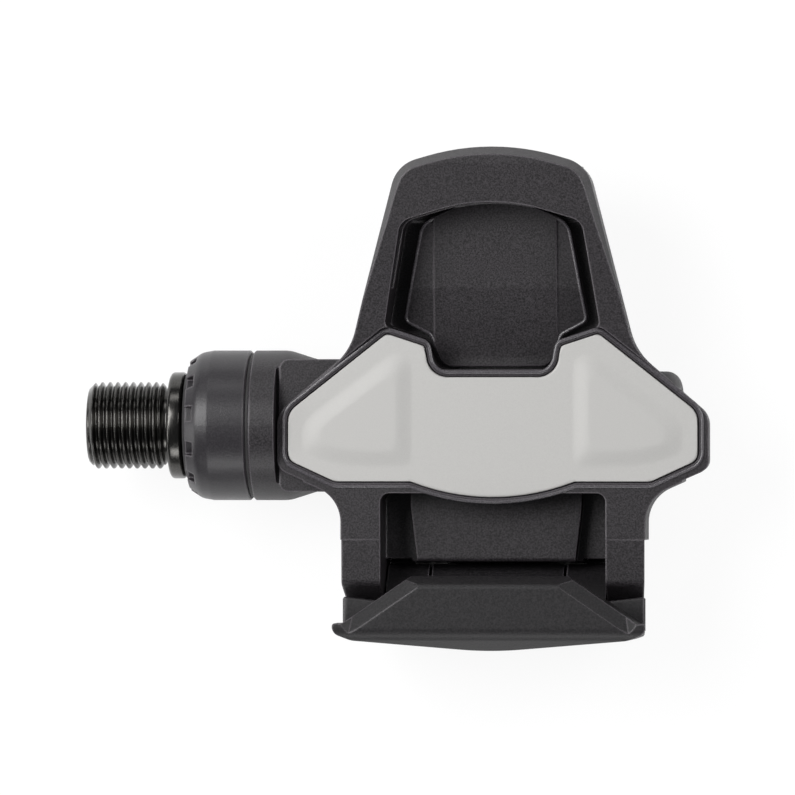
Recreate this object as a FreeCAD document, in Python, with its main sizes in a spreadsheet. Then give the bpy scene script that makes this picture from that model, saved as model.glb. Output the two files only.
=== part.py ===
import FreeCAD, Part
import math
import os
import Sketcher
from FreeCAD import Placement, Rotation, Vector

# Clipless road pedal, right-hand side, cleat side up.
# Frame: X along the spindle and away from the crank, Y forward to the nose, Z up.
# The origin is where the spindle's shoulder meets the crank, on the spindle's axis.
# Every length is in millimetres.

SIZES = [
    ("q_factor", 53.7, "crank face to the middle of the pedal"),
    ("seat_play", 0.02, "radial clearance of a part pressed or glued in its seat"),
    ("run_play", 0.05, "radial clearance of a shaft that turns in its hole"),
    ("face_play", 0.1, "gap between faces that meet side by side"),
    # spindle
    ("thread_diameter", 14.2, "crank thread, 9/16 inch by 20 to the inch"),
    ("thread_length", 13.4, "shoulder to the spindle's tip"),
    ("tip_chamfer", 1.0, "lead of the crank thread"),
    ("relief_diameter", 12.1, "undercut behind the thread"),
    ("relief_length", 1.4, "length of the undercut"),
    ("flange_diameter", 17.4, "shoulder that meets the crank"),
    ("flange_width", 2.5, "thickness of the shoulder"),
    ("flange_chamfer", 0.45, "edge break of the shoulder"),
    ("neck_diameter", 12.6, "spindle under the lip seal"),
    ("journal_diameter", 10.0, "spindle in the ball bearing"),
    ("tip_journal_diameter", 8.0, "spindle in the needle bearing"),
    ("hex_flats", 8.0, "hexagon socket across flats"),
    ("hex_depth", 10.0, "depth of the hexagon socket"),
    ("clip_groove_depth", 0.35, "groove for the circlip"),
    ("clip_width", 1.0, "thickness of the circlip"),
    ("clip_diameter", 12.4, "outside of the circlip"),
    # collar
    ("collar_diameter", 24.5, "lock ring and boss"),
    ("ring_start", 3.3, "front face of the lock ring"),
    ("ring_end", 13.3, "back face of the lock ring's head"),
    ("ring_lead", 1.9, "length of the lock ring's rounded lead"),
    ("ring_lead_drop", 1.6, "depth of the lock ring's rounded lead"),
    ("ring_gap", 0.5, "groove that shows between lock ring and boss"),
    ("skirt_diameter", 21.2, "threaded skirt of the lock ring"),
    ("skirt_end", 17.4, "end of the lock ring's skirt"),
    ("ring_bore", 14.6, "lock ring around the spindle's neck"),
    ("notches", 12, "tool notches around the lock ring"),
    ("notch_width", 2.4, "width of a tool notch"),
    ("notch_depth", 1.3, "depth of a tool notch along the axis"),
    ("notch_bite", 2.2, "depth of a tool notch along the radius"),
    ("seal_diameter", 18.0, "seat of the lip seal"),
    ("seal_length", 2.6, "width of the lip seal's seat"),
    ("seal_lip", 0.6, "part of the seal that stands in front of the ring"),
    ("seal_ring_width", 1.1, "width of the flat seal behind the lock ring"),
    # ball bearing
    ("bearing_diameter", 19.0, "ball bearing outside"),
    ("bearing_width", 5.0, "ball bearing width"),
    ("ball_diameter", 2.8, "bearing ball"),
    ("balls", 10, "balls in the bearing"),
    ("race_wall", 1.35, "thickness of each race at its edge"),
    ("groove_bite", 0.45, "depth of the ball groove in each race"),
    ("shield_width", 0.4, "thickness of the bearing's shield"),
    # needle bearing
    ("needle_start", 67.7, "inboard face of the needle bearing"),
    ("needle_length", 10.0, "length of the needle bearing's shell"),
    ("needle_diameter", 1.5, "needle roller"),
    ("needles", 14, "needle rollers"),
    ("shell_wall", 0.7, "thickness of the drawn shell"),
    ("needle_play", 0.03, "gap between a needle and its raceways"),
    # tube of the body
    ("tube_radius", 9.0, "spindle tube under the plate"),
    ("tube_shoulder", 19.6, "where the boss starts to taper"),
    ("tube_taper_end", 25.0, "where the first taper ends"),
    ("tube_taper_radius", 10.5, "tube at the end of the first taper"),
    ("tube_flat_end", 49.7, "outer end of the flat on the tube"),
    ("tube_end", 84.0, "closed end of the tube"),
    ("tube_wall", 2.2, "wall of the tube around the spindle's room"),
    ("shelf_start", 18.1, "step behind the boss"),
    ("shelf_height", 7.6, "floor of the step"),
    ("block_start", 18.7, "block that carries the plate's inner end"),
    ("block_end", 33.7, "outer end of that block"),
    ("block_half_width", 10.8, "half width of that block"),
    ("block_height", 8.6, "top of that block"),
    # contact plate, half widths from the middle of the pedal
    ("plate_height", 10.0, "top of the plate's flat middle"),
    ("plate_sheet", 1.0, "thickness of the plate"),
    ("plate_half_width", 33.4, "half width of the plate"),
    ("plate_corner_front", 2.15, "upper end of the plate's side"),
    ("plate_corner_rear", 5.6, "lower end of the plate's side"),
    ("ear_half_width", 17.3, "tip of the plate's ear"),
    ("ear_front", 14.9, "front of the plate's ear"),
    ("ear_inner", 11.2, "inner end of the ear"),
    ("ear_inner_front", 12.9, "front of the ear's inner end"),
    ("mouth_front", 7.85, "front edge of the plate in the middle"),
    ("mouth_half_width", 10.3, "half width of the plate's mouth"),
    ("mouth_round", 3.6, "rounding in the plate's mouth"),
    ("plate_rear", 9.1, "rear edge of the plate"),
    ("plate_rear_half", 25.8, "outer end of the rear edge"),
    ("belly_half_width", 13.4, "half width of the plate's rounded belly"),
    ("belly_apex", 14.1, "where the belly's end tangents cross"),
    ("belly_round", 36.5, "radius of the belly"),
    ("pad_rise", 0.55, "height of the plate's raised pads"),
    ("pad_slope", 1.6, "width of the pads' sloping sides"),
    ("pad_inner", 13.1, "inner edge of a pad's foot"),
    ("pad_front", 12.2, "front tip of a pad's foot"),
    ("pad_outer", 31.2, "outer edge of a pad's foot"),
    ("pad_rear", 6.8, "rear edge of a pad's foot"),
    ("plate_screw_half", 17.0, "half spacing of the plate's screws"),
    ("plate_screw_y", 10.2, "plate's screws along Y"),
    ("plate_boss", 2.1, "radius of the plate's threaded bosses"),
    ("plate_boss_depth", 3.2, "length of those bosses"),
    ("plate_gap", 0.25, "gap around the plate in its seat"),
    ("rim_width", 1.2, "body's rim around the plate"),
    # frame of the body
    ("frame_floor", 2.4, "underside of the frame"),
    ("frame_belt", 11.2, "height where the nose's bevel starts"),
    ("nose_apex", 46.9, "where the nose's end tangents cross"),
    ("nose_round", 38.0, "radius of the nose in plan"),
    ("nose_half_width", 15.5, "shoulder of the nose"),
    ("nose_shoulder", 42.4, "front of the nose's shoulder"),
    ("nose_corner", 5.6, "rounding of the nose's shoulder"),
    ("waist_half_width", 23.2, "foot of the nose loop"),
    ("waist_front", 12.3, "foot of the nose loop along Y"),
    ("waist_round", 10.0, "rounding of that foot"),
    ("wing_half_width", 35.3, "half width of the body"),
    ("wing_front", 1.9, "front end of the wing's side"),
    ("wing_rear", 7.1, "rear end of the wing's side"),
    ("rim_rear_half", 28.0, "outer end of the rear rim"),
    ("wall_draft", 2.5, "draft of the frame's outer walls"),
    ("bevel_angle", 28.0, "slope of the nose's bevel"),
    ("nose_top", 13.6, "highest point of the nose"),
    ("nose_top_front", 42.6, "front of the nose's highest line"),
    ("loop_top_mid", 12.8, "top of the loop at its middle"),
    ("loop_mid", 33.0, "middle of the loop along Y"),
    ("loop_top_low", 10.4, "top of the loop at the plate's ear"),
    ("loop_low", 14.0, "plate's ear along Y"),
    ("rim_height", 9.5, "top of the rim around the plate"),
    # pocket for the cleat's nose
    ("pocket_floor", 1.6, "gutter beside the floor of the pocket"),
    ("pocket_apex", 37.6, "front of the pocket's mouth"),
    ("pocket_front_round", 30.0, "rounding of the pocket's front"),
    ("pocket_front_half", 14.8, "half width of the pocket's front"),
    ("pocket_shoulder", 33.2, "corner of the pocket's front"),
    ("pocket_rear_half", 17.6, "half width of the pocket's rear"),
    ("pocket_rear", 16.1, "rear corner of the pocket"),
    ("lip_under", 10.2, "underside of the nose's hook"),
    ("lip_reach", 4.4, "how far the hook reaches over the cleat"),
    ("lip_side_reach", 1.3, "undercut at the sides of the pocket"),
    ("nose_floor", 5.9, "floor under the hook"),
    # keel with the blade's channel
    ("floor_front", 5.7, "top of the pocket's floor at the nose"),
    ("floor_crease", 22.4, "crease across the pocket's floor"),
    ("floor_crease_height", 5.0, "floor at the crease"),
    ("floor_low", 3.3, "floor at the plate's mouth"),
    ("island_front_half", 12.0, "half width of the floor at the nose"),
    ("island_front", 33.0, "front corner of the floor"),
    ("island_rear_half", 15.0, "half width of the floor at the rear"),
    ("island_rear", 17.0, "rear corner of the floor"),
    ("island_gap", 0.7, "groove between floor and rib"),
    ("band_rise", 0.3, "raised band along the floor"),
    ("band_half_width", 10.1, "half width of the raised band"),
    ("keel_half_width", 14.0, "half width of the keel"),
    ("keel_rear", 22.2, "rear end of the deck"),
    ("deck_height", 3.4, "rear deck"),
    ("deck_taper_start", 13.0, "where the rear deck starts to narrow"),
    ("deck_rear_half", 12.9, "half width of the rear deck at its end"),
    ("rail_rear", 23.0, "rear end of the rails"),
    ("web_height", 0.4, "floor between the deck and the arms"),
    ("web_thickness", 3.2, "thickness of that floor"),
    ("sill_top", 6.9, "depth of the sill that runs on under the latch's lugs"),
    ("sill_sheet", 1.2, "thickness of that sill"),
    ("sill_rear", 25.2, "rear end of that sill"),
    ("channel_half_width", 10.2, "half width of the blade's channel"),
    ("keel_cover", 0.3, "rails below the blade"),
    # blade
    ("blade_half_width", 9.5, "half width of the blade"),
    ("blade_sheet", 2.3, "thickness of the blade"),
    ("blade_front", 41.0, "front end of the blade"),
    ("blade_front_height", 1.0, "top of the blade at its front end"),
    ("blade_apex", 4.0, "where the blade's two slopes cross"),
    ("blade_apex_height", 12.3, "depth of that crossing"),
    ("blade_rear", 33.6, "rear end of the blade"),
    ("blade_rear_height", 8.1, "depth of the blade's top at its rear end"),
    ("blade_round", 110.0, "bow of the blade"),
    ("blade_play", 0.25, "gap above the blade in its channel"),
    ("clamp_rear", 33.4, "rear end of the blade's clamp"),
    ("clamp_sheet", 1.8, "thickness of the clamp"),
    ("clamp_screw_half", 5.0, "half spacing of the clamp's screws"),
    ("clamp_screw_y", 38.3, "clamp's screws along Y"),
    ("screw_diameter", 3.0, "shank of the small screws"),
    ("screw_head_diameter", 5.6, "head of the small screws"),
    ("screw_head", 1.5, "height of the small screws' heads"),
    ("screw_socket", 2.4, "width of the small screws' sockets"),
    ("insert_diameter", 4.2, "threaded insert"),
    ("insert_length", 4.4, "length of the threaded insert"),
    # arms and latch
    ("arm_outer", 24.9, "outer face of the arms, at the rim's height"),
    ("arm_foot", 22.9, "outer face of the arms at their foot"),
    ("arm_foot_depth", 8.0, "where that is, below the spindle"),
    ("arm_inner", 18.4, "inner face of the arms"),
    ("arm_height", 9.5, "top of the arms at the wings"),
    ("arm_end_height", 9.2, "top of the arms at their ends"),
    ("arm_end", 25.8, "where the arms' tops end"),
    ("arm_root_round", 6.0, "rounding between arm and wing"),
    ("pivot_y", 26.5, "latch pin behind the spindle"),
    ("pivot_z", 2.5, "latch pin below the spindle"),
    ("knuckle_radius", 5.1, "rounded end of the arm"),
    ("pin_diameter", 4.0, "latch pin"),
    ("pin_inset", 0.5, "latch pin's end below the arm's face"),
    ("latch_half_width", 25.5, "half width of the latch at its top"),
    ("latch_foot", 23.1, "half width of the latch at the arms' foot"),
    ("hub_play", 0.35, "gap between latch and arm"),
    ("lip_half_width", 12.7, "half width of the latch's lip"),
    ("lip_front", 24.4, "front edge of the lip"),
    ("lip_tip_low", 13.2, "underside of the lip at its edge"),
    ("lip_tip_high", 14.4, "top of the lip at its edge"),
    ("throat_rear", 28.8, "back of the latch's throat"),
    ("throat_floor", 5.2, "floor of the latch's throat"),
    ("crest_height", 16.9, "top of the latch"),
    ("crest_front", 25.9, "front of the latch's top"),
    ("crest_rear", 34.2, "rear of the latch's top"),
    ("latch_rear", 36.4, "rear of the latch in the middle"),
    ("latch_rear_corner", 34.6, "rear of the latch beside its horns"),
    ("bevel_width", 2.2, "bevel along the latch's slanting front edges"),
    ("bevel_depth", 1.5, "depth of that bevel"),
    ("horn_tip", 32.0, "front corner of the latch's horn"),
    ("horn_shelf", 8.0, "where the horns reach over the arms' ends"),
    ("horn_floor", 5.9, "underside of the latch's horns"),
    ("lug_radius", 3.8, "radius of the latch's lugs around the pin"),
    ("lug_shoulder", 1.9, "height over the pin where a lug leans back"),
    ("lug_inner", 11.3, "inner face of the latch's lugs"),
    ("barrel_half_width", 10.8, "half width of the latch's middle lug"),
    ("heel_front", 28.8, "front of the latch's heel"),
    ("heel_rear", 33.2, "rear of the latch's heel"),
    ("heel_half_width", 9.6, "half width of the heel"),
    ("wear_strip", 0.6, "thickness of the heel's wear strip"),
]


class Size:
    """A length: its number, and the expression that ties a feature to the sheet."""

    def __init__(self, number, text):
        self.number = float(number)
        self.text = text

    def __add__(self, other):
        other = size(other)
        return Size(self.number + other.number, f"({self.text} + {other.text})")

    def __sub__(self, other):
        other = size(other)
        return Size(self.number - other.number, f"({self.text} - {other.text})")

    def __mul__(self, other):
        other = size(other)
        return Size(self.number * other.number, f"({self.text} * {other.text})")

    def __truediv__(self, other):
        other = size(other)
        return Size(self.number / other.number, f"({self.text} / {other.text})")

    def __neg__(self):
        return Size(-self.number, f"(0 - {self.text})")

    __radd__ = __add__

    def __rsub__(self, other):
        return size(other) - self

    __rmul__ = __mul__


def size(value):
    """A plain number as a Size, or the Size itself."""
    return value if isinstance(value, Size) else Size(value, f"{value:.6f}")


doc = FreeCAD.newDocument("pedal")
sheet = doc.addObject("Spreadsheet::Sheet", "Sizes")


class Sheet:
    """The named sizes, each tied to its cell."""


s = Sheet()
for row, (alias, value, meaning) in enumerate(SIZES, start=1):
    sheet.set(f"A{row}", meaning)
    sheet.set(f"B{row}", str(value))
    sheet.setAlias(f"B{row}", alias)
    setattr(s, alias, Size(value, f"Sizes.{alias}"))
doc.recompute()


def new_body(label):
    body = doc.addObject("PartDesign::Body", label)
    body.Label = label
    return body


def new_sketch(body, name, plane, offset=None):
    """An empty sketch on one of the body's own planes, moved along its normal."""
    sketch = body.newObject("Sketcher::SketchObject", name)
    support = [f for f in body.Origin.OriginFeatures if f.Role == plane][0]
    sketch.AttachmentSupport = [(support, "")]
    sketch.MapMode = "FlatFace"
    if offset is not None:
        sketch.AttachmentOffset = Placement(Vector(0, 0, offset.number), Rotation())
        sketch.setExpression("AttachmentOffset.Base.z", offset.text)
    return sketch


def corner_points(corners):
    """For each corner, where its rounding starts and ends, its centre and its turn."""
    found = []
    count = len(corners)
    for i in range(count):
        here = Vector(corners[i][0].number, corners[i][1].number, 0)
        before = Vector(corners[i - 1][0].number, corners[i - 1][1].number, 0)
        after_corner = corners[(i + 1) % count]
        after = Vector(after_corner[0].number, after_corner[1].number, 0)
        inward = (here - before).normalize()
        outward = (after - here).normalize()
        turn = math.atan2(inward.x * outward.y - inward.y * outward.x, inward.dot(outward))
        radius = corners[i][2].number
        reach = radius * math.tan(abs(turn) / 2)
        side = 1 if turn > 0 else -1
        start = here - inward * reach
        centre = start + Vector(-inward.y, inward.x, 0) * radius * side
        found.append((start, here + outward * reach, centre, turn))
    return found


def with_sizes(corners):
    return [tuple(size(v) for v in (*c, 0)[:3]) for c in corners]


def draw(sketch, corners):
    """Adds a closed outline to the sketch, its corners rounded where a radius is given."""
    corners = with_sizes(corners)
    points = corner_points(corners)
    count = len(corners)
    first = sketch.GeometryCount
    lines = [
        Part.LineSegment(points[i][1], points[(i + 1) % count][0]) for i in range(count)
    ]
    sketch.addGeometry(lines, False)
    ties = []
    names = []

    def tie(name, expression, *words):
        names.append((len(ties), name, expression))
        ties.append(Sketcher.Constraint(*words, expression.number))

    for i, (x, y, radius) in enumerate(corners):
        into, out = first + (i - 1) % count, first + i
        if radius.number <= 0:
            ties.append(Sketcher.Constraint("Coincident", into, 2, out, 1))
            tie(f"x{first}_{i}", x, "DistanceX", -1, 1, out, 1)
            tie(f"y{first}_{i}", y, "DistanceY", -1, 1, out, 1)
            continue
        start, end, centre, turn = points[i]
        if turn < 0:
            start, end = end, start
        begin_angle = math.atan2(start.y - centre.y, start.x - centre.x)
        end_angle = math.atan2(end.y - centre.y, end.x - centre.x)
        circle = Part.Circle(centre, Vector(0, 0, 1), radius.number)
        arc = sketch.addGeometry(Part.ArcOfCircle(circle, begin_angle, end_angle), False)
        point = sketch.addGeometry(Part.Point(Vector(x.number, y.number, 0)), True)
        meets, leaves = (1, 2) if turn > 0 else (2, 1)
        ties.append(Sketcher.Constraint("Tangent", into, 2, arc, meets))
        ties.append(Sketcher.Constraint("Tangent", arc, leaves, out, 1))
        ties.append(Sketcher.Constraint("PointOnObject", point, 1, into))
        ties.append(Sketcher.Constraint("PointOnObject", point, 1, out))
        tie(f"x{first}_{i}", x, "DistanceX", -1, 1, point, 1)
        tie(f"y{first}_{i}", y, "DistanceY", -1, 1, point, 1)
        tie(f"r{first}_{i}", radius, "Radius", arc)
    before = sketch.ConstraintCount
    sketch.addConstraint(ties)
    for index, name, expression in names:
        sketch.renameConstraint(before + index, name)
        if "Sizes." in expression.text:
            sketch.setExpression(f"Constraints.{name}", expression.text)


def draw_circle(sketch, x, y, radius):
    """Adds a circle to the sketch."""
    x, y, radius = size(x), size(y), size(radius)
    circle = Part.Circle(Vector(x.number, y.number, 0), Vector(0, 0, 1), radius.number)
    index = sketch.addGeometry(circle, False)
    before = sketch.ConstraintCount
    sketch.addConstraint(
        [
            Sketcher.Constraint("DistanceX", -1, 1, index, 3, x.number),
            Sketcher.Constraint("DistanceY", -1, 1, index, 3, y.number),
            Sketcher.Constraint("Radius", index, radius.number),
        ]
    )
    for step, (letter, expression) in enumerate(zip("xyr", (x, y, radius))):
        sketch.renameConstraint(before + step, f"{letter}c{index}")
        if "Sizes." in expression.text:
            sketch.setExpression(f"Constraints.{letter}c{index}", expression.text)


def outline(body, name, plane, corners, offset=None):
    sketch = new_sketch(body, name, plane, offset)
    draw(sketch, corners)
    return sketch


def grown(corners, distance):
    """The outline moved outwards by a distance, its roundings kept concentric."""
    corners = with_sizes(corners)
    distance = size(distance)
    moved = []
    count = len(corners)
    for i, (x, y, radius) in enumerate(corners):
        here = Vector(x.number, y.number, 0)
        before = Vector(corners[i - 1][0].number, corners[i - 1][1].number, 0)
        after_corner = corners[(i + 1) % count]
        after = Vector(after_corner[0].number, after_corner[1].number, 0)
        inward = (here - before).normalize()
        outward = (after - here).normalize()
        normal_in = Vector(inward.y, -inward.x, 0)
        normal_out = Vector(outward.y, -outward.x, 0)
        share = (normal_in + normal_out) * (1 / (1 + normal_in.dot(normal_out)))
        convex = inward.x * outward.y - inward.y * outward.x > 0
        if radius.number > 0:
            radius = radius + distance if convex else radius - distance
        moved.append((x + distance * share.x, y + distance * share.y, radius))
    return moved


def at_middle(corners):
    """Half widths from the pedal's middle as places along X."""
    return [(size(x) + s.q_factor, y, r) for x, y, r in with_sizes(corners)]


def add(body, kind, profile, name, length=None, reverse=False, symmetric=False, taper=None):
    """A pad or pocket of the profile."""
    feature = body.newObject(f"PartDesign::{kind}", name)
    feature.Profile = profile
    if length is None:
        feature.Type = "ThroughAll"
    else:
        feature.Type = "Length"
        feature.Length = length.number
        feature.setExpression("Length", length.text)
    feature.SideType = "Symmetric" if symmetric else "One side"
    feature.Reversed = reverse
    if taper is not None:
        feature.TaperAngle = taper.number
        feature.setExpression("TaperAngle", taper.text)
    feature.Refine = True
    return feature


def cut(body, profile, name, length=None, reverse=False, symmetric=False):
    """A pocket that has to take material away."""
    doc.recompute()
    volume = body.Shape.Volume
    feature = add(body, "Pocket", profile, name, length, reverse, symmetric)
    doc.recompute()
    if not body.Shape.Volume < volume - 1e-6:
        raise RuntimeError(f"{body.Label}: {name} cut nothing")
    return feature


def turned(body, name, profile_corners):
    """A solid of revolution about the spindle's axis: corners are (along X, radius)."""
    profile = outline(body, name + "_profile", "XZ_Plane", profile_corners)
    feature = body.newObject("PartDesign::Revolution", name)
    feature.Profile = profile
    feature.ReferenceAxis = (profile, ["H_Axis"])
    feature.Angle = 360
    return feature


def turned_body(label, corners):
    body = new_body(label)
    turned(body, "turning", corners)
    return body


def around(body, feature, count, name):
    """Repeats a feature around the spindle's axis."""
    pattern = body.newObject("PartDesign::PolarPattern", name)
    pattern.Originals = [feature]
    axis = [f for f in body.Origin.OriginFeatures if f.Role == "X_Axis"][0]
    pattern.Axis = (axis, [""])
    pattern.Angle = 360
    pattern.Occurrences = int(count.number)
    pattern.setExpression("Occurrences", count.text)
    body.Tip = pattern
    return pattern


# plan outlines that several pieces share


def plate_right_half():
    return [
        (0, s.mouth_front, 0),
        (s.mouth_half_width, s.mouth_front, s.mouth_round),
        (s.ear_inner, s.ear_inner_front, 0.6),
        (s.ear_half_width, s.ear_front, 1.0),
        (s.plate_half_width, s.plate_corner_front, 3.0),
        (s.plate_half_width, -s.plate_corner_rear, 1.8),
        (s.plate_rear_half, -s.plate_rear, 1.8),
        (s.belly_half_width, -s.plate_rear, 0.8),
        (0, -s.belly_apex, s.belly_round),
    ]


def plate_outline():
    """The contact plate seen from above."""
    right = with_sizes(plate_right_half())[1:]
    left = [(-x, y, r) for x, y, r in right[:-1]]
    return left + [right[-1]] + list(reversed(right[:-1]))


def frame_outline():
    """The nose loop and wings of the body seen from above."""
    right = with_sizes(
        [
            (s.nose_half_width, s.nose_shoulder, s.nose_corner),
            (s.waist_half_width, s.waist_front, s.waist_round),
            (s.wing_half_width, s.wing_front, 4.0),
            (s.wing_half_width, -s.wing_rear, 2.3),
            (s.rim_rear_half, -(s.plate_rear + s.rim_width), 1.0),
            (s.belly_half_width, -(s.plate_rear + s.rim_width), 0.8),
        ]
    )
    left = [(-x, y, r) for x, y, r in right]
    belly = [(size(0), -(s.belly_apex + s.rim_width), s.belly_round)]
    nose = [(size(0), s.nose_apex, s.nose_round)]
    return nose + left + belly + list(reversed(right))


def pocket_outline(play=0.0):
    """The mouth of the pocket in the nose; play draws it in towards the floor."""
    rib = s.rim_width + play
    right = with_sizes(
        [
            (s.pocket_front_half - play, s.pocket_shoulder - play, 2.6),
            (s.pocket_rear_half - play, s.pocket_rear, 1.2),
            (s.ear_inner + 0.1, s.ear_inner_front + rib, 1.6),
            (s.mouth_half_width - 0.9, s.mouth_front + rib, s.mouth_round - 1.0),
        ]
    )
    left = [(-x, y, r) for x, y, r in right]
    apex = [(size(0), s.pocket_apex - play, s.pocket_front_round)]
    return apex + left + list(reversed(right))


def island_outline():
    """The raised floor inside the pocket."""
    rib = s.rim_width + s.island_gap
    right = with_sizes(
        [
            (s.island_front_half, s.island_front, 3.5),
            (s.island_rear_half, s.island_rear, 1.2),
            (s.ear_inner - 0.4, s.ear_inner_front + rib, 1.4),
            (s.mouth_half_width - 1.7, s.mouth_front + rib, s.mouth_round - 1.4),
        ]
    )
    left = [(-x, y, r) for x, y, r in right]
    apex = [(size(0), s.pocket_apex + 0.8, 16.0)]
    return apex + left + list(reversed(right))


def blade_line(depth):
    """The blade's top line moved down by a depth, as (along Y, along Z) corners."""
    return (
        (s.blade_front, s.blade_front_height - depth),
        (s.blade_apex, -s.blade_apex_height - depth, s.blade_round + depth),
        (-s.blade_rear, -s.blade_rear_height - depth),
    )


def whole_turn(count):
    """The angles, in radians, that share a full turn between so many copies."""
    return [2 * math.pi * step / int(count.number) for step in range(int(count.number))]


def fuse_into(body, other, name):
    """Joins another body's solid to this one."""
    joined = body.newObject("PartDesign::Boolean", name)
    joined.setObjects([other])
    joined.Type = "Fuse"
    return joined


def hole(body, name, plane, x, y, radius, offset, length, reverse=False):
    """A round pocket from the given height."""
    sketch = new_sketch(body, name + "_ring", plane, offset)
    draw_circle(sketch, x, y, radius)
    return cut(body, sketch, name, length, reverse)


def peg(body, name, plane, x, y, radius, offset, length, reverse=False):
    """A round pad from the given height."""
    sketch = new_sketch(body, name + "_ring", plane, offset)
    draw_circle(sketch, x, y, radius)
    return add(body, "Pad", sketch, name, length, reverse)


# places along the spindle that several pieces share
bearing_start = s.skirt_end - s.bearing_width
bearing_end = bearing_start + s.bearing_width
clip_start = bearing_end + s.face_play
needle_end = s.needle_start + s.needle_length
boss_front = s.ring_end + s.ring_gap
pitch_radius = (s.bearing_diameter + s.journal_diameter) / 4
needle_pitch = s.tip_journal_diameter / 2 + s.needle_play + s.needle_diameter / 2
needle_way = needle_pitch + s.needle_diameter / 2 + s.needle_play
shell_radius = needle_way + s.shell_wall
plate_seat_height = s.plate_height - s.plate_sheet

# slope of the blade's front part, which carries the clamp
front_slope = (s.blade_front_height + s.blade_apex_height) / (s.blade_front - s.blade_apex)


def blade_top_at(y):
    """Height of the blade's straight front part at a place along Y."""
    return s.blade_front_height - (s.blade_front - y) * front_slope


tail_slope = (s.blade_apex_height - s.blade_rear_height) / (s.blade_rear + s.blade_apex)


def blade_tail_at(y):
    """Height of the blade's straight tail at a distance behind the spindle."""
    return -s.blade_rear_height - (s.blade_rear - y) * tail_slope


# half width of the arms at the latch pin's height
arm_lean = (s.arm_outer - s.arm_foot) / (s.rim_height + 1.0 + s.arm_foot_depth)
arm_face_at_pin = s.arm_foot + (s.arm_foot_depth - s.pivot_z) * arm_lean

clamp_seat = blade_top_at(s.clamp_screw_y) - s.blade_sheet - s.clamp_sheet * 0.6


# spindle and the bearings


def make_spindle():
    body = turned_body(
        "spindle",
        [
            (-s.thread_length, 0),
            (-s.thread_length, s.thread_diameter / 2 - s.tip_chamfer),
            (-s.thread_length + s.tip_chamfer, s.thread_diameter / 2),
            (-s.relief_length - 0.6, s.thread_diameter / 2),
            (-s.relief_length, s.relief_diameter / 2),
            (0, s.relief_diameter / 2),
            (0, s.flange_diameter / 2 - s.flange_chamfer),
            (s.flange_chamfer, s.flange_diameter / 2),
            (s.flange_width - s.flange_chamfer, s.flange_diameter / 2),
            (s.flange_width, s.flange_diameter / 2 - s.flange_chamfer),
            (s.flange_width, s.neck_diameter / 2),
            (bearing_start, s.neck_diameter / 2),
            (bearing_start, s.journal_diameter / 2),
            (clip_start - s.face_play / 2, s.journal_diameter / 2),
            (clip_start - s.face_play / 2, s.journal_diameter / 2 - s.clip_groove_depth),
            (
                clip_start + s.clip_width + s.face_play / 2,
                s.journal_diameter / 2 - s.clip_groove_depth,
            ),
            (clip_start + s.clip_width + s.face_play / 2, s.journal_diameter / 2),
            (s.needle_start - 6.0, s.journal_diameter / 2),
            (s.needle_start - 4.0, s.tip_journal_diameter / 2),
            (needle_end + 0.4, s.tip_journal_diameter / 2),
            (needle_end + 1.2, s.tip_journal_diameter / 2 - 0.8),
            (needle_end + 1.2, 0),
        ],
    )
    reach = s.hex_flats / math.sqrt(3)
    corners = [
        (reach * math.cos(math.pi * step / 3), reach * math.sin(math.pi * step / 3))
        for step in range(6)
    ]
    socket = outline(body, "socket_flats", "YZ_Plane", corners, -s.thread_length)
    cut(body, socket, "hex_socket", s.hex_depth, reverse=True)
    return body


def ring_profile(start, end, inner, outer):
    return [(start, inner), (start, outer), (end, outer), (end, inner)]


def around_spindle(count, radius, kind, sizes, along):
    """So many spheres or cylinders around the spindle's axis, as one group."""
    copies = []
    for step, angle in enumerate(whole_turn(count)):
        copy = doc.addObject(f"Part::{kind}", f"{kind.lower()}_{step}")
        for name, length in sizes.items():
            setattr(copy, name, length.number)
            copy.setExpression(name, length.text)
        y, z = radius * math.cos(angle), radius * math.sin(angle)
        tilt = Rotation(Vector(0, 1, 0), 90) if kind == "Cylinder" else Rotation()
        copy.Placement = Placement(Vector(along.number, y.number, z.number), tilt)
        for letter, place in zip("xyz", (along, y, z)):
            copy.setExpression(f"Placement.Base.{letter}", place.text)
        copies.append(copy)
    return copies


def group(label, members):
    made = doc.addObject("Part::Compound", label)
    made.Links = members
    made.Label = label
    return made


def without(label, base, tool):
    made = doc.addObject("Part::Cut", label)
    made.Base = base
    made.Tool = tool
    made.Label = label
    return made


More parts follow.
